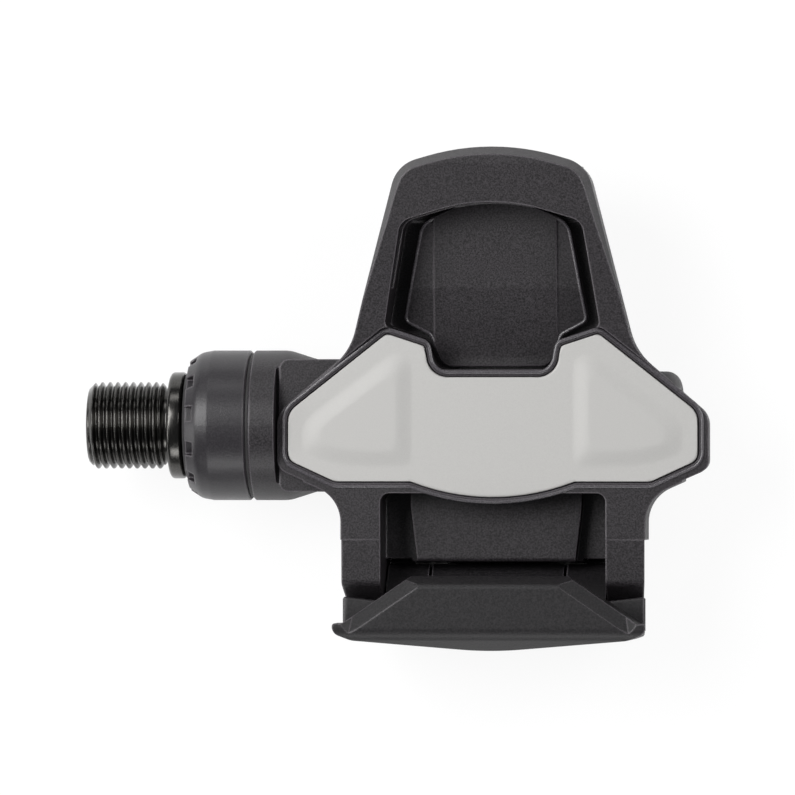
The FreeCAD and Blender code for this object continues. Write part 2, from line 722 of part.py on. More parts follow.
def make_ball_bearing():
    middle = bearing_start + s.bearing_width / 2
    inner_seat = s.journal_diameter / 2 + s.seat_play
    groove = doc.addObject("Part::Torus", "ball_groove")
    groove_sizes = {"Radius1": pitch_radius, "Radius2": s.ball_diameter / 2 + s.run_play}
    for name, length in groove_sizes.items():
        setattr(groove, name, length.number)
        groove.setExpression(name, length.text)
    groove.Placement = Placement(Vector(middle.number, 0, 0), Rotation(Vector(0, 1, 0), 90))
    groove.setExpression("Placement.Base.x", middle.text)
    outer_blank = turned_body(
        "outer_race_blank",
        ring_profile(
            bearing_start,
            bearing_end,
            s.bearing_diameter / 2 - s.race_wall,
            s.bearing_diameter / 2,
        ),
    )
    inner_blank = turned_body(
        "inner_race_blank",
        ring_profile(bearing_start, bearing_end, inner_seat, inner_seat + s.race_wall),
    )
    outer = without("bearing_outer_race", outer_blank, groove)
    inner = without("bearing_inner_race", inner_blank, groove)
    balls = group(
        "bearing_balls",
        around_spindle(
            s.balls, pitch_radius, "Sphere", {"Radius": s.ball_diameter / 2}, middle
        ),
    )
    cage_blank = turned_body(
        "ball_cage_blank",
        ring_profile(middle + 0.2, middle + 1.9, pitch_radius - 0.6, pitch_radius + 0.6),
    )
    windows = group(
        "ball_windows",
        around_spindle(
            s.balls,
            pitch_radius,
            "Sphere",
            {"Radius": s.ball_diameter / 2 + s.run_play},
            middle,
        ),
    )
    cage = without("ball_cage", cage_blank, windows)
    shields = []
    for start, name in (
        (bearing_start + s.face_play, "front_shield"),
        (bearing_end - s.face_play - s.shield_width, "rear_shield"),
    ):
        shields.append(
            turned_body(
                name,
                ring_profile(
                    start,
                    start + s.shield_width,
                    inner_seat + s.race_wall + s.face_play,
                    s.bearing_diameter / 2 - s.race_wall - s.seat_play,
                ),
            )
        )
    return outer, inner, balls, cage, group("bearing_shields", shields)


def make_circlip():
    body = turned_body(
        "spindle_circlip",
        ring_profile(
            clip_start,
            clip_start + s.clip_width,
            s.journal_diameter / 2 - s.clip_groove_depth + s.seat_play,
            s.clip_diameter / 2,
        ),
    )
    gap = outline(
        body,
        "clip_gap",
        "YZ_Plane",
        [(-1.2, 2.0), (1.2, 2.0), (1.2, 9.0), (-1.2, 9.0)],
        clip_start,
    )
    cut(body, gap, "opening", s.clip_width, reverse=True)
    return body


def make_needle_bearing():
    shell = turned_body(
        "needle_shell",
        [
            (s.needle_start, s.tip_journal_diameter / 2 + 0.35),
            (s.needle_start, shell_radius - 0.5),
            (s.needle_start + 0.5, shell_radius),
            (needle_end - 0.5, shell_radius),
            (needle_end, shell_radius - 0.5),
            (needle_end, s.tip_journal_diameter / 2 + 0.35),
            (needle_end - s.shell_wall, s.tip_journal_diameter / 2 + 0.35),
            (needle_end - s.shell_wall, needle_way),
            (s.needle_start + s.shell_wall, needle_way),
            (s.needle_start + s.shell_wall, s.tip_journal_diameter / 2 + 0.35),
        ],
    )
    start = s.needle_start + s.shell_wall + 0.3
    length = s.needle_length - s.shell_wall * 2 - 0.6
    rollers = group(
        "needle_rollers",
        around_spindle(
            s.needles,
            needle_pitch,
            "Cylinder",
            {"Radius": s.needle_diameter / 2, "Height": length},
            start,
        ),
    )
    cage_blank = turned_body(
        "needle_cage_blank",
        ring_profile(start - 0.2, start + length + 0.2, needle_pitch - 0.3, needle_pitch + 0.3),
    )
    windows = group(
        "needle_windows",
        around_spindle(
            s.needles,
            needle_pitch,
            "Cylinder",
            {"Radius": s.needle_diameter / 2 + s.needle_play, "Height": length + 0.1},
            start - 0.05,
        ),
    )
    return shell, rollers, without("needle_cage", cage_blank, windows)


# lock ring and seals


def make_lock_collar():
    outer = s.collar_diameter / 2
    body = turned_body(
        "lock_collar",
        [
            (s.ring_start, s.seal_diameter / 2 + s.seat_play),
            (s.ring_start, outer - s.ring_lead_drop),
            (s.ring_start + s.ring_lead, outer - s.ring_lead_drop * 0.2, 2.5),
            (s.ring_start + s.ring_lead * 2, outer),
            (s.ring_end - 0.3, outer),
            (s.ring_end, outer - 0.3),
            (s.ring_end, s.skirt_diameter / 2),
            (s.skirt_end, s.skirt_diameter / 2),
            (s.skirt_end, s.bearing_diameter / 2 + s.seat_play),
            (bearing_start - s.run_play, s.bearing_diameter / 2 + s.seat_play),
            (bearing_start - s.run_play, s.ring_bore / 2),
            (s.ring_start + s.seal_length, s.ring_bore / 2),
            (s.ring_start + s.seal_length, s.seal_diameter / 2 + s.seat_play),
        ],
    )
    half = s.notch_width / 2
    lean = math.radians(20)
    corners = []
    for across, up in (
        (-half, outer - s.notch_bite),
        (half, outer - s.notch_bite),
        (half, outer + 1.0),
        (-half, outer + 1.0),
    ):
        corners.append(
            (
                across * math.cos(lean) - up * math.sin(lean),
                across * math.sin(lean) + up * math.cos(lean),
            )
        )
    notch = outline(body, "notch_plan", "YZ_Plane", corners, s.ring_start)
    first = cut(body, notch, "notch", s.notch_depth, reverse=True)
    around(body, first, s.notches, "notch_ring")
    return body


def make_seals():
    lip_seal = turned_body(
        "lip_seal",
        [
            (s.ring_start - s.seal_lip, s.neck_diameter / 2 + s.run_play),
            (s.ring_start - s.seal_lip, s.seal_diameter / 2 - 0.3),
            (s.ring_start - s.seal_lip + 0.3, s.seal_diameter / 2),
            (s.ring_start + s.seal_length - s.face_play, s.seal_diameter / 2),
            (s.ring_start + s.seal_length - s.face_play, s.ring_bore / 2 + 0.2),
            (s.ring_start + 0.8, s.ring_bore / 2),
            (s.ring_start + 0.4, s.neck_diameter / 2 + s.run_play),
        ],
    )
    start = s.ring_end + s.run_play
    collar_seal = turned_body(
        "collar_seal",
        ring_profile(
            start,
            boss_front - s.run_play,
            s.skirt_diameter / 2 + s.run_play,
            s.skirt_diameter / 2 + s.run_play + s.seal_ring_width,
        ),
    )
    return lip_seal, collar_seal


# the moulded body


def make_tube():
    """The tube around the spindle, with its boss and the block at the plate's end."""
    body = new_body("tube_blank")
    boss = s.collar_diameter / 2
    turned(
        body,
        "tube",
        [
            (boss_front, 0),
            (boss_front, boss - 0.25),
            (boss_front + 0.25, boss),
            (s.tube_shoulder, boss, 6.0),
            (s.tube_taper_end, s.tube_taper_radius, 20.0),
            (s.tube_taper_end + 13.0, s.tube_radius, 30.0),
            (s.tube_end - 0.4, s.tube_radius - 0.2, 2.5),
            (s.tube_end, s.tube_radius - 5.0, 2.0),
            (s.tube_end, 0),
        ],
    )
    top = outline(
        body,
        "tube_top_side",
        "XZ_Plane",
        [
            (s.shelf_start, s.shelf_height, 0.5),
            (s.block_start, s.shelf_height),
            (s.block_start, s.block_height),
            (s.tube_flat_end, s.block_height),
            (s.tube_flat_end, 20.0),
            (s.shelf_start, 20.0),
        ],
    )
    cut(body, top, "tube_top", symmetric=True)
    block = outline(
        body,
        "block_plan",
        "XY_Plane",
        [
            (s.block_start, -s.block_half_width, 1.5),
            (s.block_end, -s.block_half_width),
            (s.block_end, s.block_half_width),
            (s.block_start, s.block_half_width, 1.5),
        ],
        size(-2.0),
    )
    add(body, "Pad", block, "block", s.block_height + 2.0)
    return body


def floor_line(drop):
    """Top of the pocket's floor from the nose to the plate, as (along Y, along Z)."""
    return [
        (s.pocket_apex + 4.0, s.floor_front - drop),
        (s.floor_crease, s.floor_crease_height - drop),
        (s.mouth_front + s.rim_width + 2.0, s.floor_low - drop, 8.0),
        (s.mouth_front - 4.0, s.floor_low - drop),
    ]


def make_floor():
    """The raised floor inside the pocket, creased across and banded along."""
    body = new_body("floor_blank")
    plan = outline(body, "floor_plan", "XY_Plane", at_middle(island_outline()))
    add(body, "Pad", plan, "floor", s.floor_front + 1.0)
    cuts = (
        ("band_top", size(0.0), s.q_factor - 30.0, size(60.0)),
        ("right_of_band", s.band_rise, s.q_factor + s.band_half_width, size(30.0)),
        ("left_of_band", s.band_rise, s.q_factor - s.band_half_width - 30.0, size(30.0)),
    )
    for name, drop, start, length in cuts:
        line = floor_line(drop)
        above = [(line[0][0], 20.0)] + line + [(line[-1][0], 20.0)]
        side = outline(body, name + "_side", "YZ_Plane", above, start)
        cut(body, side, name, length, reverse=True)
    return body


def strip(front, rear, top_depth, bottom_depth):
    """Side view of a layer along the blade, between two depths below its top line."""
    top = blade_line(top_depth)
    bottom = blade_line(bottom_depth)
    return [(front, top[0][1]), top[1], (rear, top[2][1])] + [
        (rear, bottom[2][1]),
        bottom[1],
        (front, bottom[0][1]),
    ]


def make_keel():
    """The rails and deck over the blade, from the nose to the rear gap."""
    body = new_body("keel_blank")
    cover = s.blade_sheet + s.keel_cover
    under = blade_line(cover)
    keel_front = s.blade_front + 1.2
    side = outline(
        body,
        "keel_side",
        "YZ_Plane",
        [
            (keel_front, s.frame_floor + 0.2),
            (s.pocket_shoulder, s.frame_floor + 0.2),
            (s.pocket_shoulder, s.pocket_floor),
            (s.mouth_front, s.pocket_floor),
            (s.mouth_front - 4.0, s.deck_height),
            (-s.keel_rear, s.deck_height, 0.6),
            (-s.keel_rear, -3.0),
            (-s.rail_rear, -5.0),
            (-s.rail_rear, blade_tail_at(s.rail_rear) - cover),
            under[1],
            (s.blade_front, under[0][1], 1.5),
            (keel_front, s.pocket_floor - 1.4),
        ],
        s.q_factor,
    )
    add(body, "Pad", side, "keel", s.keel_half_width * 2, symmetric=True)
    for side, name in ((1, "right"), (-1, "left")):
        beyond = [
            (s.keel_half_width * side, -s.deck_taper_start),
            (s.deck_rear_half * side, -s.keel_rear),
            (s.deck_rear_half * side, -s.rail_rear - 2.0),
            ((s.keel_half_width + 2.0) * side, -s.rail_rear - 2.0),
            ((s.keel_half_width + 2.0) * side, -s.deck_taper_start),
        ]
        plan = outline(body, f"{name}_taper_plan", "XY_Plane", at_middle(beyond), s.web_height)
        cut(body, plan, f"{name}_deck_taper", size(8.0), reverse=True)
    room = strip(s.blade_front + 0.3, size(-40.0), -s.blade_play, size(30.0))
    room[2] = (-s.blade_rear, room[2][1])
    room[3] = (-s.blade_rear, size(-60.0))
    room[4] = (s.blade_front + 0.3, size(-60.0))
    room.pop()
    channel = outline(body, "channel_side", "YZ_Plane", room, s.q_factor)
    cut(body, channel, "channel", s.channel_half_width * 2, symmetric=True)
    return body


def make_pedal_body(tube, floor, keel):
    body = new_body("pedal_body")
    middle = s.q_factor
    arm = outline(
        body,
        "arm_side",
        "YZ_Plane",
        [
            (-6.0, s.arm_height),
            (-s.plate_rear - 3.0, s.arm_height, 6.0),
            (-s.arm_end, s.arm_end_height, 1.2),
            (-s.pivot_y - s.knuckle_radius, s.knuckle_radius * 0.6 - s.pivot_z, 3.6),
            (-s.pivot_y - s.knuckle_radius, -s.pivot_z - s.knuckle_radius, 4.4),
            (-s.pivot_y + s.knuckle_radius, -s.pivot_z - s.knuckle_radius, 4.0),
            (-14.0, -4.2, 6.0),
            (-6.0, -4.2),
        ],
        middle,
    )
    add(body, "Pad", arm, "arms", s.arm_outer * 2, symmetric=True)
    for side, name in ((1, "right"), (-1, "left")):
        beyond = [
            (s.arm_outer * side, s.rim_height + 1.0),
            (s.arm_foot * side, -s.arm_foot_depth),
            (s.arm_outer * 2 * side, -s.arm_foot_depth),
            (s.arm_outer * 2 * side, s.rim_height + 1.0),
        ]
        draft = outline(body, f"{name}_arm_draft_front", "XZ_Plane", at_middle(beyond))
        cut(body, draft, f"{name}_arm_draft", symmetric=True)
    bay = outline(
        body,
        "bay_plan",
        "XY_Plane",
        at_middle(
            [
                (-s.arm_inner, -40.0),
                (s.arm_inner, -40.0),
                (s.arm_inner, -s.plate_rear - 1.9, 1.5),
                (-s.arm_inner, -s.plate_rear - 1.9, 1.5),
            ]
        ),
    )
    cut(body, bay, "bay", symmetric=True)
    for side, name in ((1, "right"), (-1, "left")):
        root = [
            (s.arm_inner * side, -s.plate_rear + 0.6),
            (s.arm_inner * side, -s.plate_rear - 9.5),
            (s.arm_outer * side, -s.plate_rear - 9.5),
            (s.arm_outer * side, -(s.plate_rear + 2.75), s.arm_root_round),
            ((s.rim_rear_half + 3.0) * side, -s.plate_rear),
            ((s.rim_rear_half + 3.0) * side, -s.plate_rear + 0.6),
        ]
        plan = outline(body, f"{name}_root_plan", "XY_Plane", at_middle(root), s.frame_floor)
        add(body, "Pad", plan, f"{name}_arm_root", s.rim_height - s.frame_floor)
    web = outline(
        body,
        "web_plan",
        "XY_Plane",
        at_middle(
            [
                (-s.arm_inner - 0.5, -s.keel_rear + 0.5),
                (s.arm_inner + 0.5, -s.keel_rear + 0.5),
                (s.arm_inner + 0.5, -s.plate_rear + 1.0),
                (-s.arm_inner - 0.5, -s.plate_rear + 1.0),
            ]
        ),
        s.web_height - s.web_thickness,
    )
    add(body, "Pad", web, "rear_web", s.web_thickness)
    sill_reach = s.arm_inner + 0.5 - s.channel_half_width
    for start, name in (
        (middle + s.channel_half_width, "right"),
        (middle - s.arm_inner - 0.5, "left"),
    ):
        sill = outline(
            body,
            f"{name}_sill_side",
            "YZ_Plane",
            [
                (-s.keel_rear + 2.0, s.web_height - s.web_thickness + 0.2),
                (-s.keel_rear + 2.0, -s.sill_top - s.sill_sheet, 1.5),
                (-s.sill_rear, -s.sill_top - s.sill_sheet),
                (-s.sill_rear, -s.sill_top),
                (-s.keel_rear + 0.5, -s.sill_top, 0.6),
                (-s.keel_rear + 0.5, s.web_height - s.web_thickness + 0.2),
            ],
            start,
        )
        add(body, "Pad", sill, f"{name}_sill", sill_reach)
    lower = outline(body, "frame_plan", "XY_Plane", at_middle(frame_outline()), s.frame_belt)
    depth = s.frame_belt - s.frame_floor
    add(body, "Pad", lower, "frame", depth, reverse=True, taper=-s.wall_draft)
    upper = outline(body, "crown_plan", "XY_Plane", at_middle(frame_outline()), s.frame_belt)
    add(body, "Pad", upper, "crown", size(4.0), taper=-s.bevel_angle)
    base = outline(
        body,
        "pocket_base_plan",
        "XY_Plane",
        at_middle(grown(pocket_outline(), size(1.2))),
        s.pocket_floor - 1.6,
    )
    add(body, "Pad", base, "pocket_base", s.frame_floor - s.pocket_floor + 2.0)
    above = outline(
        body,
        "frame_top",
        "YZ_Plane",
        [
            (60.0, s.nose_top),
            (60.0, 30.0),
            (-60.0, 30.0),
            (-60.0, s.rim_height),
            (s.mouth_front + 1.5, s.rim_height, 6.0),
            (s.loop_low, s.loop_top_low, 12.0),
            (s.loop_mid, s.loop_top_mid, 30.0),
            (s.nose_top_front, s.nose_top),
        ],
        middle,
    )
    cut(body, above, "loop_top", symmetric=True)
    below = outline(
        body,
        "nose_under",
        "YZ_Plane",
        [(60.0, 8.6), (45.9, 8.6), (42.6, 2.0), (42.6, -3.0), (60.0, -3.0)],
        middle,
    )
    cut(body, below, "nose_chin", symmetric=True)
    bay_top = outline(
        body,
        "plate_bay_plan",
        "XY_Plane",
        at_middle(grown(plate_outline(), s.rim_width)),
        s.rim_height,
    )
    cut(body, bay_top, "plate_bay", size(8.0), reverse=True)
    fuse_into(body, tube, "with_tube")
    seat = outline(
        body,
        "plate_seat_plan",
        "XY_Plane",
        at_middle(grown(plate_outline(), s.plate_gap)),
        plate_seat_height,
    )
    cut(body, seat, "plate_seat", size(3.0), reverse=True)
    mouth = outline(
        body, "pocket_plan", "XY_Plane", at_middle(pocket_outline()), s.pocket_floor
    )
    cut(body, mouth, "pocket", size(20.0), reverse=True)
    reach = s.pocket_shoulder + s.lip_reach
    side_reach = s.pocket_front_half + s.lip_side_reach
    right = with_sizes(
        [
            (s.pocket_front_half - 0.4, reach, 3.0),
            (side_reach, s.pocket_shoulder - 3.0, 2.0),
            (s.pocket_rear_half + 0.4, s.floor_crease, 0.6),
            (s.pocket_rear_half - 4.0, s.floor_crease),
        ]
    )
    room = [(size(0), s.pocket_apex + s.lip_reach, s.pocket_front_round)]
    room += [(-x, y, r) for x, y, r in right] + list(reversed(right))
    under = outline(body, "hook_plan", "XY_Plane", at_middle(room), s.nose_floor)
    cut(body, under, "hook_room", s.lip_under - s.nose_floor, reverse=True)
    fuse_into(body, floor, "with_floor")
    fuse_into(body, keel, "with_keel")

    # room for the spindle and its bearings
    room_radius = s.tube_radius - s.tube_wall
    profile = outline(
        body,
        "spindle_room_side",
        "XZ_Plane",
        [
            (boss_front - 1.0, 0),
            (boss_front - 1.0, s.skirt_diameter / 2 + s.seat_play),
            (s.skirt_end + s.run_play, s.skirt_diameter / 2 + s.seat_play),
            (s.skirt_end + s.run_play, room_radius),
            (s.needle_start - s.face_play, room_radius),
            (s.needle_start - s.face_play, shell_radius + s.seat_play),
            (needle_end + s.face_play, shell_radius + s.seat_play),
            (needle_end + s.face_play, s.tip_journal_diameter / 2 + 1.0),
            (needle_end + 2.6, s.tip_journal_diameter / 2 + 1.0),
            (needle_end + 2.6, 0),
        ],
    )
    groove = body.newObject("PartDesign::Groove", "spindle_room")
    groove.Profile = profile
    groove.ReferenceAxis = (profile, ["H_Axis"])
    groove.Angle = 360

    # pin and screws
    pin = new_sketch(body, "pin_ring", "YZ_Plane", middle)
    draw_circle(pin, -s.pivot_y, -s.pivot_z, s.pin_diameter / 2 + s.seat_play)
    cut(body, pin, "pin_hole", s.arm_outer * 2 + 2.0, symmetric=True)
    for side, name in ((1, "right"), (-1, "left")):
        x = middle + s.clamp_screw_half * side
        hole(
            body,
            f"{name}_insert_hole",
            "XY_Plane",
            x,
            s.clamp_screw_y,
            s.insert_diameter / 2 + s.seat_play,
            size(-12.0),
            insert_top + 12.0 + s.face_play,
            reverse=True,
        )
        x = middle + s.plate_screw_half * side
        hole(
            body,
            f"{name}_boss_hole",
            "XY_Plane",
            x,
            s.plate_screw_y,
            s.plate_boss + s.face_play,
            plate_seat_height - s.plate_boss_depth - s.face_play,
            size(12.0),
            reverse=True,
        )
        hole(
            body,
            f"{name}_plate_screw_hole",
            "XY_Plane",
            x,
            s.plate_screw_y,
            s.screw_diameter / 2 + s.face_play,
            size(-6.0),
            size(16.0),
            reverse=True,
        )
        hole(
            body,
            f"{name}_plate_screw_well",
            "XY_Plane",
            x,
            s.plate_screw_y,
            s.screw_head_diameter / 2 + s.face_play,
            size(-6.0),
            plate_screw_seat + 6.0,
            reverse=True,
        )
    return body


insert_top = blade_top_at(s.clamp_screw_y) + s.blade_play + 1.0 + s.insert_length
plate_screw_seat = plate_seat_height - s.plate_boss_depth - 1.6


# the contact plate


def pad_outline():
    """Foot of one of the plate's raised pads, on the right-hand side."""
    return [
        (s.pad_inner, -s.pad_rear, 2.0),
        (s.pad_outer - 6.0, -s.pad_rear, 2.6),
        (s.pad_outer, -s.pad_rear + 2.2, 2.0),
        (s.pad_outer, s.plate_corner_front - 1.5, 2.2),
        (s.pad_inner + 2.8, s.pad_front, 2.6),
        (s.pad_inner, s.pad_front - 1.0, 1.7),
    ]


def make_contact_plate():
    body = new_body("contact_plate")
    plan = outline(body, "sheet_plan", "XY_Plane", at_middle(plate_outline()), plate_seat_height)
    add(body, "Pad", plan, "plate_flat", s.plate_sheet)
    slope = Size(
        -math.degrees(math.atan(s.pad_slope.number / s.pad_rise.number)),
        "-atan(Sizes.pad_slope / Sizes.pad_rise)",
    )
    for side, name in ((1, "right"), (-1, "left")):
        foot = [(size(x) * side, y, r) for x, y, r in pad_outline()]
        sketch = outline(body, f"{name}_pad_foot", "XY_Plane", at_middle(foot), s.plate_height)
        add(body, "Pad", sketch, f"{name}_pad", s.pad_rise, taper=slope)
        x = s.q_factor + s.plate_screw_half * side
        peg(
            body,
            f"{name}_boss",
            "XY_Plane",
            x,
            s.plate_screw_y,
            s.plate_boss,
            plate_seat_height - s.plate_boss_depth,
            s.plate_boss_depth,
        )
        hole(
            body,
            f"{name}_boss_thread",
            "XY_Plane",
            x,
            s.plate_screw_y,
            s.screw_diameter / 2 + s.seat_play,
            plate_seat_height - s.plate_boss_depth,
            s.plate_boss_depth - 0.2,
            reverse=True,
        )
    return body


def make_screw(label, x, y, seat, length):
    """A socket-head screw whose shank points up from its seat."""
    body = new_body(label)
    peg(body, "shank", "XY_Plane", x, y, s.screw_diameter / 2, seat, length)
    peg(body, "head", "XY_Plane", x, y, s.screw_head_diameter / 2, seat, s.screw_head, True)
    reach = s.screw_socket / math.sqrt(3)
    flats = [
        (
            x + reach * math.cos(math.pi * step / 3),
            y + reach * math.sin(math.pi * step / 3),
        )
        for step in range(6)
    ]
    socket = outline(body, "socket_plan", "XY_Plane", flats, seat - s.screw_head)
    cut(body, socket, "socket", s.screw_head * 0.6, reverse=True)
    return body


def pair(label, make):
    """A node of two alike solids, one on each side of the middle."""
    return group(label, [make(1, "right"), make(-1, "left")])


def make_plate_screw(side, name):
    x = s.q_factor + s.plate_screw_half * side
    length = s.plate_boss_depth + 1.6 - 0.6
    return make_screw(f"{name}_plate_screw", x, s.plate_screw_y, plate_screw_seat, length)


def make_blade_screw(side, name):
    x = s.q_factor + s.clamp_screw_half * side
    length = insert_top - clamp_seat - 0.3
    return make_screw(f"{name}_blade_screw", x, s.clamp_screw_y, clamp_seat, length)


def make_insert(side, name):
    body = new_body(f"{name}_insert")
    x = s.q_factor + s.clamp_screw_half * side
    bottom = insert_top - s.insert_length
    peg(
        body,
        "insert",
        "XY_Plane",
        x,
        s.clamp_screw_y,
        s.insert_diameter / 2,
        bottom,
        s.insert_length,
    )
    hole(
        body,
        "thread",
        "XY_Plane",
        x,
        s.clamp_screw_y,
        s.screw_diameter / 2 + s.seat_play,
        bottom - 1.0,
        s.insert_length + 2.0,
        reverse=True,
    )
    return body


# blade and clamp


def make_blade():
    body = new_body("carbon_blade")
    side = strip(s.blade_front, -s.blade_rear, size(0.0), s.blade_sheet)
    sketch = outline(body, "blade_side", "YZ_Plane", side, s.q_factor)
    add(body, "Pad", sketch, "blade", s.blade_half_width * 2, symmetric=True)
    for side_sign, name in ((1, "right"), (-1, "left")):
        hole(
            body,
            f"{name}_screw_hole",
            "XY_Plane",
            s.q_factor + s.clamp_screw_half * side_sign,
            s.clamp_screw_y,
            s.screw_diameter / 2 + s.face_play,
            size(-14.0),
            size(20.0),
            reverse=True,
        )
    return body


def make_keeper():
    body = new_body("blade_keeper")
    top = blade_line(s.blade_sheet)
    bottom = blade_line(s.blade_sheet + s.clamp_sheet)
    rear_drop = front_slope * (s.blade_front - s.clamp_rear)
    corners = [
        (s.blade_front + 0.2, top[0][1]),
        (s.clamp_rear, top[0][1] - rear_drop),
        (s.clamp_rear, bottom[0][1] - rear_drop, 0.8),
        (s.blade_front + 0.2, bottom[0][1], 1.2),
    ]
    sketch = outline(body, "keeper_side", "YZ_Plane", corners, s.q_factor)
    width = (s.channel_half_width - s.face_play) * 2
    add(body, "Pad", sketch, "keeper", width, symmetric=True)
    for side, name in ((1, "right"), (-1, "left")):
        x = s.q_factor + s.clamp_screw_half * side
        hole(
            body,
            f"{name}_hole",
            "XY_Plane",
            x,
            s.clamp_screw_y,
            s.screw_diameter / 2 + s.face_play,
            size(-14.0),
            size(20.0),
            reverse=True,
        )
        hole(
            body,
            f"{name}_well",
            "XY_Plane",
            x,
            s.clamp_screw_y,
            s.screw_head_diameter / 2 + s.face_play,
            size(-14.0),
            clamp_seat + 14.0,
            reverse=True,
        )
    return body


# the latch


def latch_plan():
    right = with_sizes(
        [
            (s.lip_half_width, -s.lip_front, 1.0),
            (s.latch_half_width - 1.4, -s.horn_tip - 0.2, 0.6),
            (s.latch_half_width, -s.horn_tip, 0.5),
            (s.latch_half_width, -s.latch_rear_corner + 0.9, 1.6),
            (s.latch_half_width - 3.0, -s.latch_rear_corner - 0.3, 4.0),
        ]
    )
    left = [(-x, y, r) for x, y, r in right]
    rear = [(size(0), -s.latch_rear - 0.4, 60.0)]
    return left + rear + list(reversed(right))


bevel_lean = Size(
    -math.degrees(math.atan(s.bevel_width.number / s.bevel_depth.number)),
    "-atan(Sizes.bevel_width / Sizes.bevel_depth)",
)


def bevel_plan(side):
    """The strip along one slanting front edge that the bevel takes, seen from above."""
    across = s.latch_half_width - 1.4 - s.lip_half_width
    along = s.horn_tip + 0.2 - s.lip_front
    length = math.hypot(across.number, along.number)
    out_x, out_y = along.number / length, across.number / length
    run_x, run_y = out_y, -out_x
    corners = []
    for run, out in ((-8.0, -1), (length, -1), (length, 4), (-8.0, 4)):
        x = s.lip_half_width + run * run_x + s.bevel_width * (out * out_x)
        y = -s.lip_front + run * run_y + s.bevel_width * (out * out_y)
        corners.append((x * side, y))
    return corners


def make_latch():
    body = new_body("rear_latch")
    middle = s.q_factor
    heel = blade_tail_at(s.heel_rear) + s.wear_strip + s.face_play * 2
    side = outline(
        body,
        "latch_side",
        "YZ_Plane",
        [
            (-s.lip_front, s.lip_tip_low, 0.3),
            (-s.throat_rear + 0.4, s.lip_tip_low - 0.5, 1.6),
            (-s.heel_front, heel - 0.4, 0.8),
            (-s.heel_rear, heel, 1.2),
            (-s.latch_rear + 0.9, 3.0, 9.0),
            (-s.latch_rear - 1.0, s.crest_height - 5.0, 4.0),
            (-s.crest_rear, s.crest_height, 2.5),
            (-s.crest_front, s.crest_height, 1.0),
            (-s.lip_front - 0.1, s.lip_tip_high, 0.4),
        ],
        middle,
    )
    add(body, "Pad", side, "latch_beam", s.latch_half_width * 2 + 4.0, symmetric=True)
    for start, length, name in (
        (middle + s.heel_half_width, s.latch_half_width, "right"),
        (middle - s.heel_half_width - s.latch_half_width, s.latch_half_width, "left"),
    ):
        under = outline(
            body,
            f"{name}_floor_side",
            "YZ_Plane",
            [(-20.0, -20.0), (-20.0, -s.horn_floor), (-45.0, -s.horn_floor), (-45.0, -20.0)],
            start,
        )
        cut(body, under, f"{name}_floor", length, reverse=True)
    arm_side = s.arm_inner - s.hub_play
    for start, length, name in (
        (middle + arm_side, s.latch_half_width, "right"),
        (middle - arm_side - s.latch_half_width, s.latch_half_width, "left"),
    ):
        knuckle = outline(
            body,
            f"{name}_knuckle_side",
            "YZ_Plane",
            [
                (-18.0, -20.0),
                (-s.horn_tip, -20.0),
                (-s.horn_tip, s.horn_shelf, 2.5),
                (-18.0, s.horn_shelf),
            ],
            start,
        )
        cut(body, knuckle, f"{name}_knuckle", length, reverse=True)
    rim = at_middle(latch_plan())
    trim = new_sketch(body, "latch_plan_trim", "XY_Plane")
    far = 45.0
    draw(trim, at_middle([(-far, -far), (far, -far), (far, 5.0), (-far, 5.0)]))
    draw(trim, rim)
    cut(body, trim, "latch_trim", symmetric=True)
    for side, name in ((1, "right"), (-1, "left")):
        beyond = [
            (s.latch_half_width * side, s.crest_height),
            (s.latch_foot * side, -s.arm_foot_depth),
            (s.latch_half_width * 2 * side, -s.arm_foot_depth),
            (s.latch_half_width * 2 * side, s.crest_height),
        ]
        draft = outline(body, f"{name}_draft_front", "XZ_Plane", at_middle(beyond))
        cut(body, draft, f"{name}_draft", symmetric=True)
        bevel = outline(
            body, f"{name}_bevel_plan", "XY_Plane", at_middle(bevel_plan(side)), s.crest_height
        )
        doc.recompute()
        volume = body.Shape.Volume
        add(body, "Pocket", bevel, f"{name}_bevel", s.bevel_depth, taper=bevel_lean)
        doc.recompute()
        if not body.Shape.Volume < volume - 1e-6:
            raise RuntimeError(f"{body.Label}: {name} bevel cut nothing")
    for start, length, name in (
        (middle + s.lug_inner, arm_side - s.lug_inner, "right"),
        (middle - arm_side, arm_side - s.lug_inner, "left"),
        (middle - s.barrel_half_width, s.barrel_half_width * 2, "middle"),
    ):
        lug = outline(
            body,
            f"{name}_lug_side",
            "YZ_Plane",
            [
                (-s.pivot_y + s.lug_radius, -s.pivot_z + s.lug_shoulder, s.lug_radius - 0.2),
                (-s.pivot_y + s.lug_radius, -s.pivot_z - s.lug_radius, s.lug_radius - 0.2),
                (-s.heel_front - 2.4, -s.horn_floor),
                (-s.heel_front - 2.4, s.throat_floor),
                (-s.heel_front, s.throat_floor, 1.5),
            ],
            start,
        )
        add(body, "Pad", lug, f"{name}_lug", length)
    pin = new_sketch(body, "latch_pin_ring", "YZ_Plane", middle)
    draw_circle(pin, -s.pivot_y, -s.pivot_z, s.pin_diameter / 2 + s.run_play)
    cut(body, pin, "latch_pin_hole", s.arm_outer * 2, symmetric=True)
    return body


